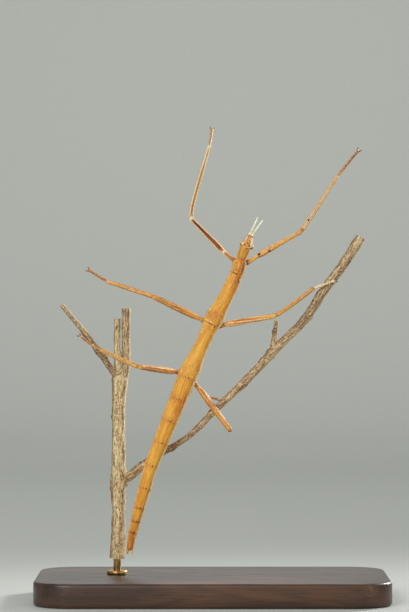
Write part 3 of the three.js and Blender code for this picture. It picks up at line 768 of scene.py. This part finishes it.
for number, joint in enumerate(part_ends[1:-1], start=1):
    lap = 0.06 if number < TAIL else 0.03
    height += lap * ridge(z - joint + 0.25, 0.3)
    height -= 0.06 * ridge(z - joint - 0.08, 0.1)
    seam_depth = 0.1 if number < LAST_LAPS else 0.7
    dark += seam_depth * ridge(z - joint - 0.05, 0.1) * (0.35 + 0.65 * back)
    if number > METATHORAX:
        for across, depth in ((-0.36, 0.7), (0.24, 1.2)):
            dark += depth * spot(across, joint - 0.22, 0.14)
        red += 0.35 * ridge(z - joint + 0.2, 0.7)

for across, along, size, darkness in DARK_SPOTS:
    dark += darkness * spot(across, along, size)

# The head: two ridges from the feelers back to the eyes, the rims of the eyes, and a fine seam.
frons = np.clip(z / EYE["place"], 0, 1)
ridge_gap = np.abs(np.abs(x) - (0.34 + 0.5 * frons))
frontal = ridge(ridge_gap, 0.13) * on_back * (z < EYE["place"] + 0.3)
hollow = ridge(x, 0.28) * ridge(z - 0.9, 0.6) * on_back
eye_gap = np.sqrt(
    (np.abs(x) - EYE["spacing"] / 2) ** 2 + (y_middle - EYE["raise"]) ** 2 + (z - EYE["place"]) ** 2
)
rim = ridge(eye_gap - EYE["radius"], 0.1)
crown = ridge(z - 3.4, 0.9) * ridge(x, 0.75) * on_back
seam = ridge(x, 0.07) * on_back * on_head * (z > 2.4)
cheek = ridge(edge_gap, 10) * on_head * (z > 2.7)
height += 0.16 * frontal - 0.18 * hollow + 0.06 * rim + 0.1 * crown - 0.05 * seam + 0.07 * cheek
height += 0.12 * ridge(np.abs(x) - 0.55, 0.3) * ridge(z - 3.6, 1.0) * on_back * on_head
dark += 0.25 * seam + 0.4 * ridge(eye_gap - EYE["radius"] + 0.02, 0.06)
# The cheeks are pale, and paler on the right side as a painted highlight.
pale += 1.1 * frontal + cheek * np.where(x > 0, 1.1, 0.3)
olive += 0.3 * on_head * (z > 2.3) * (1 - ridge(x - 0.1, 0.4) * ridge(z - 2.7, 0.5))
red += 0.3 * on_head * (z < 2.3) + 0.6 * ridge(z - neck, 0.35) + 0.4 * spot(0.1, 3.2, 0.45)
speckle += 0.5 * on_head * (z < 2.5)

# The thorax: a short seam behind the prothorax, a rough front collar, and granules to the rear.
on_prothorax = (z > neck) & (z < front_joint)
dark += 1.1 * ridge(z - front_joint, 0.12) * ridge(x + 0.35, 0.65) * on_back
red += 0.08 * on_prothorax
speckle += 0.35 * on_prothorax * ridge(edge_gap, 40)
for across, along, size in RUSTY_SPOTS:
    dark += 0.3 * spot(across, along, size)
    red += 0.6 * spot(across, along, 2 * size)
front_collar = ridge(z - front_joint - 0.9, 0.9) * np.clip(1.5 * (x - 0.5), 0, 1) * on_back
speckle += 0.9 * front_collar
pale += 0.35 * front_collar
pale += 0.6 * ridge(z - rear_joint + 0.2, 0.12) * ridge(x + 0.45, 1.0) * on_back
dark += 0.7 * ridge(z - rear_joint - 0.05, 0.09) * ridge(x + 0.3, 1.2) * on_back
scatter = np.random.default_rng(SCATTER_SEED)
for zone_from, zone_to, count in GRANULES:
    for _ in range(count):
        across = scatter.uniform(-1.7, 1.7)
        along = scatter.uniform(zone_from, zone_to)
        grain_size = scatter.uniform(0.09, 0.15)
        height += 0.09 * spot(across, along, grain_size)
        dark += scatter.choice((0.0, 0.5)) * spot(across, along - 0.15, grain_size)
        pale += 0.5 * spot(across, along, grain_size)
dark += 0.4 * ridge(z - waist + 1.25, 0.1) * back
height -= 0.05 * ridge(z - waist + 1.25, 0.12) * back
for _ in range(PORES):
    dark += scatter.uniform(0.3, 0.8) * spot(
        scatter.uniform(-1.6, 1.6), scatter.uniform(9, body_length - 1), scatter.uniform(0.07, 0.12)
    )
red += 0.5 * ridge(z - body_length, 0.9) * (x < 0)
carve(body, height)
skin_marks(body, 10, x, y, z, dark, pale, speckle, red, olive, purple_and_highlight)
skin_parts = [lay(body, axis)]


def section(place):
    """The body's middle at a distance from its front, and the ways to the right and the tail."""
    part = min(int(np.searchsorted(part_ends, place, side="right")) - 1, TAIL)
    down = (axis[part + 1] - axis[part]).normalized()
    middle = axis[part] + down * (place - part_ends[part])
    return middle, Vector((-down.z, 0, down.x)), down


BELLYWARD = Vector((0, 1, 0))


def lay_under(piece, start, end, drop):
    """Lays a limb along the underside, between two distances from the front of the body."""
    return lay(piece, [section(place)[0] + BELLYWARD * drop for place in (start, end)])


# The mouth under the head, with a split between its jaws, and its two jointed palps.
mouth = turned_limb(MOUTH_MESH, MOUTH["to"] - MOUTH["from"], MOUTH_ROWS, flatness=MOUTH["flatness"])
x, y, z, angle = round_it(mouth)
below = ridge(around(angle, 180), 60)
lip = ridge(z - MOUTH["lip"], 0.09) * below
split = ridge(x, 0.07) * below * (z < MOUTH["lip"])
carve(mouth, -0.09 * lip - 0.1 * split)
skin_marks(mouth, 11, x, y, z, dark=0.7 * lip + 0.8 * split, red=0.35, speckle=0.3, pale=0.1)
skin_parts.append(lay_under(mouth, MOUTH["from"], MOUTH["to"], MOUTH["drop"]))

middle, right, _ = section(PALP["place"])
for number, side in enumerate((-1, 1)):
    palp = turned_limb(PALP_MESH, PALP["length"], PALP_ROWS)
    x, y, z, _ = round_it(palp)
    share = z / PALP["length"]
    knots = ridge(share - 0.29, 0.03) + ridge(share - 0.55, 0.03)
    skin_marks(palp, 12 + number, x, y, z, dark=0.5 * knots, pale=0.45, red=0.2, speckle=0.3)
    root = middle + right * side * PALP["offset"] + BELLYWARD * PALP["drop"]
    out = direction(BODY[HEAD][1] + side * PALP["splay"], PALP["lean"])
    tip = root + out * PALP["length"] - BELLYWARD * 0.12
    skin_parts.append(lay(palp, [root, root + out * PALP["length"] * 0.5, tip]))

# The raised sockets of the feelers.
front, right, _ = section(0)
antenna_lines = {}
for number, (side, (turn, lean, offset, sway)) in enumerate(ANTENNA_PLACES.items()):
    root = front + right * offset + BELLYWARD * ANTENNA["drop"]
    out = direction(turn, lean)
    antenna_lines[side] = (root, out, sway)
    socket = turned_limb(SOCKET_MESH, SOCKET_DEPTH + SOCKET_LENGTH, SOCKET_ROWS)
    x, y, z, _ = round_it(socket)
    lip = ridge(z - SOCKET_DEPTH - SOCKET_LENGTH + 0.15, 0.1)
    carve(socket, 0.04 * lip)
    skin_marks(socket, 14 + number, x, y, z, pale=0.3 * lip, red=0.35, speckle=0.4)
    skin_parts.append(lay(socket, [root - out * SOCKET_DEPTH, root + out * SOCKET_LENGTH]))

# The two short feelers at the tail, and the scoop under the last parts.
middle, right, _ = section(part_ends[TAIL] + CERCUS["place"] * BODY[TAIL][0])
for number, side in enumerate((-1, 1)):
    cercus = turned_limb(CERCUS_MESH, CERCUS["length"], CERCUS_ROWS)
    x, y, z, _ = round_it(cercus)
    paleness = 0.95 * z / CERCUS["length"] if side > 0 else 0.2
    skin_marks(cercus, 16 + number, x, y, z, pale=paleness, speckle=0.3, red=0.35 - 0.2 * side)
    root = middle + right * side * CERCUS["offset"]
    out = direction(CERCUS["turn"] - side * CERCUS["splay"], CERCUS["lean"])
    skin_parts.append(lay(cercus, [root, root + out * CERCUS["length"]]))

scoop_from = part_ends[SCOOP_PART] + SCOOP["from"] * BODY[SCOOP_PART][0]
scoop_to = part_ends[TAIL] + SCOOP["to"] * BODY[TAIL][0]
scoop = turned_limb(SCOOP_MESH, scoop_to - scoop_from, SCOOP_ROWS, flatness=SCOOP["flatness"])
x, y, z, angle = round_it(scoop)
keel = ridge(around(angle, 180), 8)
edge = ridge(np.abs(angle) - 100, 8)
carve(scoop, 0.09 * keel + 0.05 * edge)
skin_marks(scoop, 18, x, y, z, dark=0.2 * edge, pale=0.4 * keel + 0.3 * edge, red=0.3, speckle=0.3)
skin_parts.append(lay_under(scoop, scoop_from, scoop_to, SCOOP["drop"]))


def line_length(points):
    """How long a line is from its first point to its last."""
    return sum((after - before).length for before, after in zip(points, points[1:]))


def bone(number, points, rows, tints, joints, turn, twist=0, lead=0.0):
    """A femur or tibia with five keels, pale along them and dark between them, and dark at its joints.

    The pale keels are partly painted highlight along the ridges, and the dark between them is partly
    painted shade in the grooves.
    """
    red, olive, between, on_keels, freckle = tints
    pale_ends = number in PALE_ENDED
    length = line_length(points)
    piece = turned_limb(LEG_MESH, length, rows, lead=lead)
    x, y, z, angle = round_it(piece)
    share = (z - lead) / (length - lead)
    round_keels = angle + turn + twist * share
    keels = sum(ridge(around(round_keels, keel), 11) for keel in KEELS)
    pale_keels = sum(
        ridge(around(round_keels, keel), 13 + 9 * on_keels) for keel in KEELS if keel != 0 or turn
    )
    shaft = rise(share - joints[0], 0.04) * rise(joints[1] - share, 0.04)
    at_root = 1 - rise(share - joints[0], 0.05)
    hip_end = 1 - rise(share - 0.03, 0.06) if lead else 0
    knob = rise(share - joints[1], 0.03)
    far_half = 0 if lead else 0.5 * rise(share - 0.6, 0.2)
    whitened = (knob + ridge(share - joints[0] + 0.02, 0.02) + far_half) * pale_ends
    spots = sum(
        ridge(np.hypot((share - place) * length, np.radians(around(angle, turned)) * 0.6), 0.26)
        for place, turned in SPOTTED.get(number, ())
    )
    groove = ridge(share - joints[0], 0.01)
    carve(piece, KEEL_HEIGHT * (keels - 0.35) * shaft - KNEE_GROOVE * groove)
    # Pale keels are partly painted highlight along the ridges, and the dark between them is partly painted
    # shade in the grooves.
    skin_marks(
        piece, number, x, y, z,
        dark=between * (1 - pale_keels) * shaft + (0.35 if pale_ends else 0.6) * groove + spots,
        pale=on_keels * pale_keels * (0.75 + 0.25 * shaft) * rise(share, 0.08) + 0.1 * knob + 0.7 * whitened,
        speckle=freckle,
        red=red * (1 - 0.5 * knob) * (1 - 0.5 * at_root) + 0.4 * hip_end,
        olive=olive,
        purple_and_highlight=0.9 * hip_end * np.clip(1.3 - np.abs(angle) / 90, 0, 1) * (number in PURPLE_HIPPED),
    )
    return lay(piece, points)


def foot(number, points, tints):
    """The five beads of a foot, each with a pad below its end."""
    red, olive, between, on_keels, freckle = tints
    length = line_length(points)
    rows = [(0, FOOT_WAIST)]
    for start, end in zip(FOOT_JOINTS, FOOT_JOINTS[1:]):
        swelling = start + 0.75 * (end - start)
        rows += [(start + 0.02, FOOT_WAIST), (swelling, FOOT_BELLY), (end - 0.02, FOOT_BELLY)]
    rows[-1] = (1, FOOT_END)
    piece = turned_limb(FOOT_MESH, length, rows)
    x, y, z, angle = round_it(piece)
    share = z / length
    pads = sum(ridge(share - end + 0.04, 0.03) for end in FOOT_JOINTS[1:]) * ridge(around(angle, 180), 50)
    waists = sum(ridge(share - joint, 0.012) for joint in FOOT_JOINTS[1:-1])
    carve(piece, TOE_PAD * pads - 0.06 * waists)
    skin_marks(
        piece, number, x, y, z,
        dark=0.7 * waists + between * share, pale=on_keels * 0.7, speckle=freckle, red=red, olive=olive,
    )
    return lay(piece, points)


toes = []
for number, (kind, hip, bones, tints, (keel_turn, keel_twist)) in zip(range(20, 80, 10), LEGS):
    joints = [Vector(hip)]
    for length, turn, lean in bones:
        joints.append(joints[-1] + direction(turn, lean) * length)
    hip, bend, knee, ankle, instep, toe = joints
    along_root, along_thigh, along_shin = [direction(turn, lean) for _, turn, lean in bones[:3]]
    beside = (along_shin - along_thigh * along_thigh.dot(along_shin)).normalized()
    knee_top = knee + along_thigh * KNEE_REACH + beside * KNEE_SIDE
    spine = min((section(place)[0] for place in places), key=lambda middle: (middle - hip).length)
    sunk_hip = hip.lerp(spine, HIP_SINK)
    inside = (sunk_hip - along_root * HIP_DEPTH).lerp(spine, HIP_TURN)
    thigh_end = knee + along_thigh * KNEE_REACH / 2
    femur_line = [inside, sunk_hip, bend, bend.lerp(knee, STRAIGHT_FROM), thigh_end]
    femur = bone(
        number, femur_line, FEMUR_ROWS[kind], tints[0], FEMUR_JOINTS[kind], keel_turn, keel_twist,
        lead=(sunk_hip - inside).length,
    )
    tibia_end = ankle + along_shin * ANKLE_LAPS[0]
    tibia_line = [knee - along_thigh * KNEE_LAP, knee_top.lerp(ankle, KNEE_CURVE), tibia_end]
    tibia = bone(number + 1, tibia_line, TIBIA_ROWS[kind], tints[1], TIBIA_JOINTS, keel_turn)
    foot_line = [ankle - along_shin * ANKLE_LAPS[1], ankle.lerp(toe, 0.5).lerp(instep, 0.5), toe]
    skin_parts += [femur, tibia, foot(number + 2, foot_line, tints[2])]
    toes.append((toe, (toe - instep).normalized()))


def torn(tree, amount, pattern, spread, low, high):
    """An amount with its edge broken up by a pattern, from 0 below low to 1 above high."""
    shift = put(tree, "MapRange", {0: pattern, 1: 0.3, 2: 0.7, 3: -spread, 4: spread}).outputs[0]
    total = maths(tree, "ADD", amount, shift)
    return put(tree, "MapRange", {0: total, 1: low, 2: high, 3: 0.0, 4: 1.0}).outputs[0]


cuticle, tree = new_material("tinted cuticle", Specular_IOR_Level=0.35)
dark_mark, pale_mark, speckle_mark = channels(tree, "marking")
red_tint, olive_tint, purple_and_highlight_tint = channels(tree, "tint")
streaks = cloud(tree, "grain", (3.0, 3.0, 0.3), 5.0, 0.5)
washes = cloud(tree, "grain", (0.5, 0.5, 0.16), 2.0)
flecks = cloud(tree, "grain", (4.2, 4.2, 3.0), 3.0)
pits = cloud(tree, "grain", (9, 9, 7), 2.0)
colour = layered(
    tree, ramp(tree, washes, (0.3, OCHRE_DEEP), (0.46, OCHRE), (0.6, OCHRE_LIGHT)),
    (ramp(tree, streaks, (0.36, 0.55), (0.5, 0.0)), OCHRE_DEEP),
    (ramp(tree, streaks, (0.52, 0.0), (0.66, 0.8)), OCHRE_LIGHT),
    (olive_tint, OLIVE),
    # The red tint also holds the band of painted shade right of the middle of the back.
    (torn(tree, red_tint, washes, 0.25, 0.0, 1.0), ramp(tree, streaks, (0.4, RUST), (0.6, RUST_LIGHT))),
    # Purple below 0 lays a painted golden highlight.
    (purple_and_highlight_tint, PURPLE),
    (maths(tree, "MULTIPLY", purple_and_highlight_tint, -1.0, clamp=True), GOLDEN_HIGHLIGHT),
    # The pale marking holds painted highlights on the body's right edge, the right cheek and the leg keels,
    # and the dark marking holds painted shade in the flank grooves, down the left flank and between the leg
    # keels.
    (torn(tree, pale_mark, flecks, 0.2, 0.2, 0.65), CREAM),
    (maths(tree, "MULTIPLY", ramp(tree, flecks, (0.53, 0.0), (0.58, 1.0)), speckle_mark), CREAM),
    (maths(tree, "MULTIPLY", ramp(tree, flecks, (0.38, 1.0), (0.44, 0.0)), speckle_mark), RUST),
    (torn(tree, dark_mark, flecks, 0.15, 0.2, 0.75), UMBER),
)
polished = ramp(tree, flecks, (0.3, 0.6), (0.7, 0.44))
set_finish(tree, colour, (streaks, 0.035), (pits, 0.02), roughness=polished)

skin = weld(skin_parts)
finished(skin, "skin", 45, cuticle)
flesh = [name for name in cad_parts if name.split("_")[-1] in ("femur", "tibia", "tarsus")]
flesh += [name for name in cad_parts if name.startswith("abdomen") or name.endswith("thorax")]
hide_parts("head", "operculum", *flesh)

# --------------------------------------------------------------------- Claws
# A pair of hooked horn claws at the end of each foot, glued to the last bead. They are brown, and
# darken to the point. One is turned and copied, and each copy is bent to its own foot.

CLAW = {"length": 0.85, "offset": 0.12, "sunk": 0.15, "spread": 36, "hook": 0.34}
CLAW_ROWS = ((0, 0.36), (0.3, 0.29), (0.7, 0.18), (1, 0.06))
CLAW_MESH = (12, 0.06)
HORN_LIGHT = (214, 160, 112)
HORN_DARK = (112, 62, 38)

horn, tree = new_material("claw horn", Roughness=0.32)
_, _, far_out = channels(tree, "grain")
fibres = cloud(tree, "grain", (9, 9, 2), 2.0)
colour = ramp(tree, far_out, (0.15, HORN_LIGHT), (0.7, HORN_DARK))
set_finish(tree, layered(tree, colour, (fibres, HORN_DARK)), (fibres, 0.01))

pattern = turned_limb(CLAW_MESH, CLAW["length"], CLAW_ROWS, dome=False)
x, y, z, _ = round_it(pattern)
mark(pattern, "grain", x, y, z)
claws = []
for toe, forward in toes:
    across = forward.cross(BELLYWARD).normalized()
    grip = across.cross(forward).normalized()
    for side in (-1, 1):
        claw = pattern.copy()
        claw.data = pattern.data.copy()
        bpy.context.collection.objects.link(claw)
        spread = math.radians(CLAW["spread"])
        out = forward * math.cos(spread) + across * side * math.sin(spread)
        root = toe + across * side * CLAW["offset"] - forward * CLAW["sunk"]
        middle = root + out * CLAW["length"] * 0.5
        tip = middle + (out * 0.3 + forward * 0.7) * CLAW["length"] * 0.34 - grip * CLAW["hook"]
        claws.append(lay(claw, [root, middle, tip]))
bpy.data.objects.remove(pattern)
select_only(*claws)
bpy.ops.object.join()
finished(claws[0], "claws", 40, horn)

# ------------------------------------------------------------------- Feelers
# Two short antennae of thirteen joints in pale resin, set in the sockets of the head. The root
# joint is the stoutest, the second is a bead, and the rest make an even whip.

WHIP_FROM = 0.24
WHIP_JOINTS = 11
FEELER_ROOT = ((0, 0.46), (0.03, 0.53), (0.13, 0.51), (0.15, 0.32), (0.165, 0.32), (0.19, 0.42), (0.22, 0.4))
FEELER_WAIST = 0.33
FEELER_BELLY = (0.4, 0.32)  # at the root of the whip and at its tip
FEELER_STEP = 0.045
FEELER_SIDES = 16
FEELER_CREAM = (255, 253, 226)
FEELER_STRAW = (232, 206, 124)
FEELER_BROWN = (150, 116, 62)

feeler_resin, tree = new_material("pale feeler resin", Roughness=0.42, Coat_Weight=0.1)
dark_mark, pale_mark, _ = channels(tree, "marking")
streaks = cloud(tree, "grain", (7, 7, 1.2), 3.0)
colour = layered(
    tree, ramp(tree, streaks, (0.35, FEELER_STRAW), (0.6, FEELER_CREAM)),
    (torn(tree, pale_mark, streaks, 0.15, 0.1, 0.7), FEELER_CREAM),
    (torn(tree, dark_mark, streaks, 0.2, 0.2, 0.9), FEELER_BROWN),
)
set_finish(tree, colour, (streaks, 0.012))

rows = list(FEELER_ROOT)
whip_joint = (1 - WHIP_FROM) / WHIP_JOINTS
for step in range(WHIP_JOINTS):
    start = WHIP_FROM + step * whip_joint
    belly = np.interp(step / WHIP_JOINTS, (0, 1), FEELER_BELLY)
    rows += [(start, FEELER_WAIST * belly / FEELER_BELLY[0]), (start + 0.3 * whip_joint, belly)]
    rows.append((start + 0.85 * whip_joint, belly))
length = ANTENNA["length"]
places = np.linspace(0, length, round(length / FEELER_STEP) + 1)
widths = np.interp(places / length, *zip(*rows)) * rounded(length - places, 0.2, 0.05)
for number, (side, (root, out, sway)) in enumerate(antenna_lines.items()):
    feeler = limb(FEELER_SIDES, places, widths)
    x, y, z, _ = round_it(feeler)
    share = z / length
    joint_phase = np.clip((share - WHIP_FROM) / whip_joint, 0, WHIP_JOINTS)
    joint_rings = ridge(joint_phase - np.round(joint_phase), 0.09) * (share > 0.2)
    mark(feeler, "grain", x, y, z + number * LIMB_APART)
    dark_rings = 0.55 * joint_rings + 0.7 * ridge(share - 0.16, 0.01) + 0.35 * ridge(share - 1, 0.08)
    mark(feeler, "marking", dark_rings, share, 0 * z)
    lay(feeler, [root, root + out * length * 0.5, root + out * length + direction(90, 0) * sway])
    finished(feeler, f"feeler_{side}", 50, feeler_resin)
    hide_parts(f"antenna_{side}")

# ---------------------------------------------------------------------- Eyes
# Two glass beads in the sides of the head, pale amber with a dark smudge at the back and a painted
# glint at the front, set in a low rim of cuticle and polished.

EYE_LONG = 1.15
EYE_PALE = (214, 176, 124)
EYE_AMBER = (118, 70, 34)
EYE_DARK = (30, 17, 11)

eye_glass, tree = new_material("eye bead", Roughness=0.22, Coat_Weight=0.6, Coat_Roughness=0.16)
dark_mark, pale_mark, _ = channels(tree, "marking")
mottle = cloud(tree, "object", (4200, 4200, 4200), 3.0)
facets = put(tree, "TexVoronoi", {"Vector": place_on(tree, "object", (26000, 26000, 26000))}).outputs
colour = layered(
    tree, ramp(tree, mottle, (0.35, EYE_AMBER), (0.62, EYE_PALE)),
    # The pale marking is a painted glint.
    (torn(tree, pale_mark, mottle, 0.2, 0.3, 0.8), EYE_PALE),
    (torn(tree, dark_mark, mottle, 0.15, 0.35, 0.7), EYE_DARK),
)
set_finish(tree, colour, (facets["Distance"], 0.004))

middle, right, down = section(EYE["place"])
for side, sign in (("left", -1), ("right", 1)):
    select_only()
    centre = (middle + right * sign * EYE["spacing"] / 2 - BELLYWARD * EYE["raise"]) * MM
    bpy.ops.mesh.primitive_uv_sphere_add(segments=48, ring_count=28, radius=EYE["radius"] * MM)
    eye = bpy.context.object
    eye.scale = (1, 1, EYE_LONG)
    eye.rotation_euler = down.to_track_quat("Z", "Y").to_euler()
    eye.location = centre
    bpy.ops.object.transform_apply()
    ways = np.array([(vertex.co - centre).normalized() for vertex in eye.data.vertices])
    smudge = ways @ np.array((down * 0.75 - right * sign * 0.35 - BELLYWARD * 0.55).normalized())
    # A painted glint: a pale patch on the side of each bead toward the head's front, the outside and the
    # viewer.
    painted_glint = ways @ np.array((-down * 0.5 + right * sign * 0.4 - BELLYWARD * 0.75).normalized())
    mark(eye, "marking", np.clip(2.2 * smudge - 1.0, 0, 1), np.clip(1.6 * painted_glint - 0.6, 0, 1), 0 * painted_glint)
    finished(eye, f"eye_bead_{side}", 60, eye_glass)
    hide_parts(f"eye_{side}")

# --------------------------------------------------------------------- Stage
# A plain pale sheet of paper that curves up all round, so that it is behind the model from every
# side, under soft studio lamps, and a camera level with the model and straight in front of it.

CAMERA_PLACE = (-1.65, -603, 60)
CAMERA_DISTANCE = 600
VIEW_HEIGHT = 124.54  # at the insect's own plane
SHEET = {"radius": 1150, "height": 480, "curve": 420, "sides": 160}
SHEET_PALE = (206, 208, 202)
SHEET_SHADE = (203, 205, 199)
LAMPS = (
    # name, place, what it points at, size, spread of its beam in degrees, watts
    ("key_lamp", (-330, -720, 410), (0, 0, 45), 420, 120, 1.84),
    ("fill_lamp", (620, -560, 200), (0, 0, 50), 480, 120, 0.4),
    ("rim_lamp", (250, 270, 190), (0, 0, 62), 90, 34, 0.09),
    ("back_lamp", (-120, 700, 520), (0, 0, 50), 480, 90, 0.22),
    ("wall_lamp", (0, 560, 560), (0, 1150, 190), 500, 120, 0.55),
)
ROOM_COLOUR = (0.86, 0.9, 0.88, 1)
ROOM_STRENGTH = 0.45

sheet_paper, tree = new_material("backdrop paper", Roughness=0.95)
tooth = cloud(tree, "object", (900, 900, 900), 2.0)
colour = ramp(tree, tooth, (0.3, SHEET_SHADE), (0.7, SHEET_PALE))
set_finish(tree, colour)

select_only()
bpy.ops.mesh.primitive_cylinder_add(
    vertices=SHEET["sides"],
    radius=SHEET["radius"] * MM,
    depth=SHEET["height"] * MM,
    location=(0, 0, SHEET["height"] / 2 * MM),
)
sheet = bpy.context.object
bpy.ops.object.transform_apply()
pick(sheet, "FACE", lambda face: face.normal.z > 0.5)
bpy.ops.mesh.delete(type="FACE")
bpy.ops.object.mode_set(mode="OBJECT")
pick(sheet, "EDGE", lambda edge: all(sheet.data.vertices[v].co.z < MM for v in edge.vertices))
bpy.ops.mesh.bevel(offset=SHEET["curve"] * MM, segments=40)
bpy.ops.mesh.select_all(action="SELECT")
bpy.ops.mesh.normals_make_consistent(inside=True)
bpy.ops.object.mode_set(mode="OBJECT")
sheet.name = "backdrop"
sheet.data.materials.append(sheet_paper)
bpy.ops.object.shade_smooth_by_angle(angle=math.radians(30))

for name, place, target, size, spread, watts in LAMPS:
    lamp = bpy.data.lights.new(name, "AREA")
    lamp.energy = watts
    lamp.size = size * MM
    lamp.spread = math.radians(spread)
    stand = bpy.data.objects.new(name, lamp)
    stand.location = Vector(place) * MM
    stand.rotation_euler = (Vector(target) - Vector(place)).to_track_quat("-Z", "Y").to_euler()
    bpy.context.collection.objects.link(stand)

world = bpy.data.worlds.new("room")
world.use_nodes = True
glow = world.node_tree.nodes["Background"].inputs
glow["Color"].default_value = ROOM_COLOUR
glow["Strength"].default_value = ROOM_STRENGTH
bpy.context.scene.world = world
bpy.context.scene.view_settings.view_transform = "Standard"

lens = bpy.data.cameras.new("camera")
lens.sensor_fit = "VERTICAL"
lens.lens = lens.sensor_height * CAMERA_DISTANCE / VIEW_HEIGHT
lens.clip_start = 10 * MM
lens.clip_end = 10
camera = bpy.data.objects.new("camera", lens)
camera.location = Vector(CAMERA_PLACE) * MM
camera.rotation_euler = (math.pi / 2, 0, 0)
bpy.context.collection.objects.link(camera)
bpy.context.scene.camera = camera
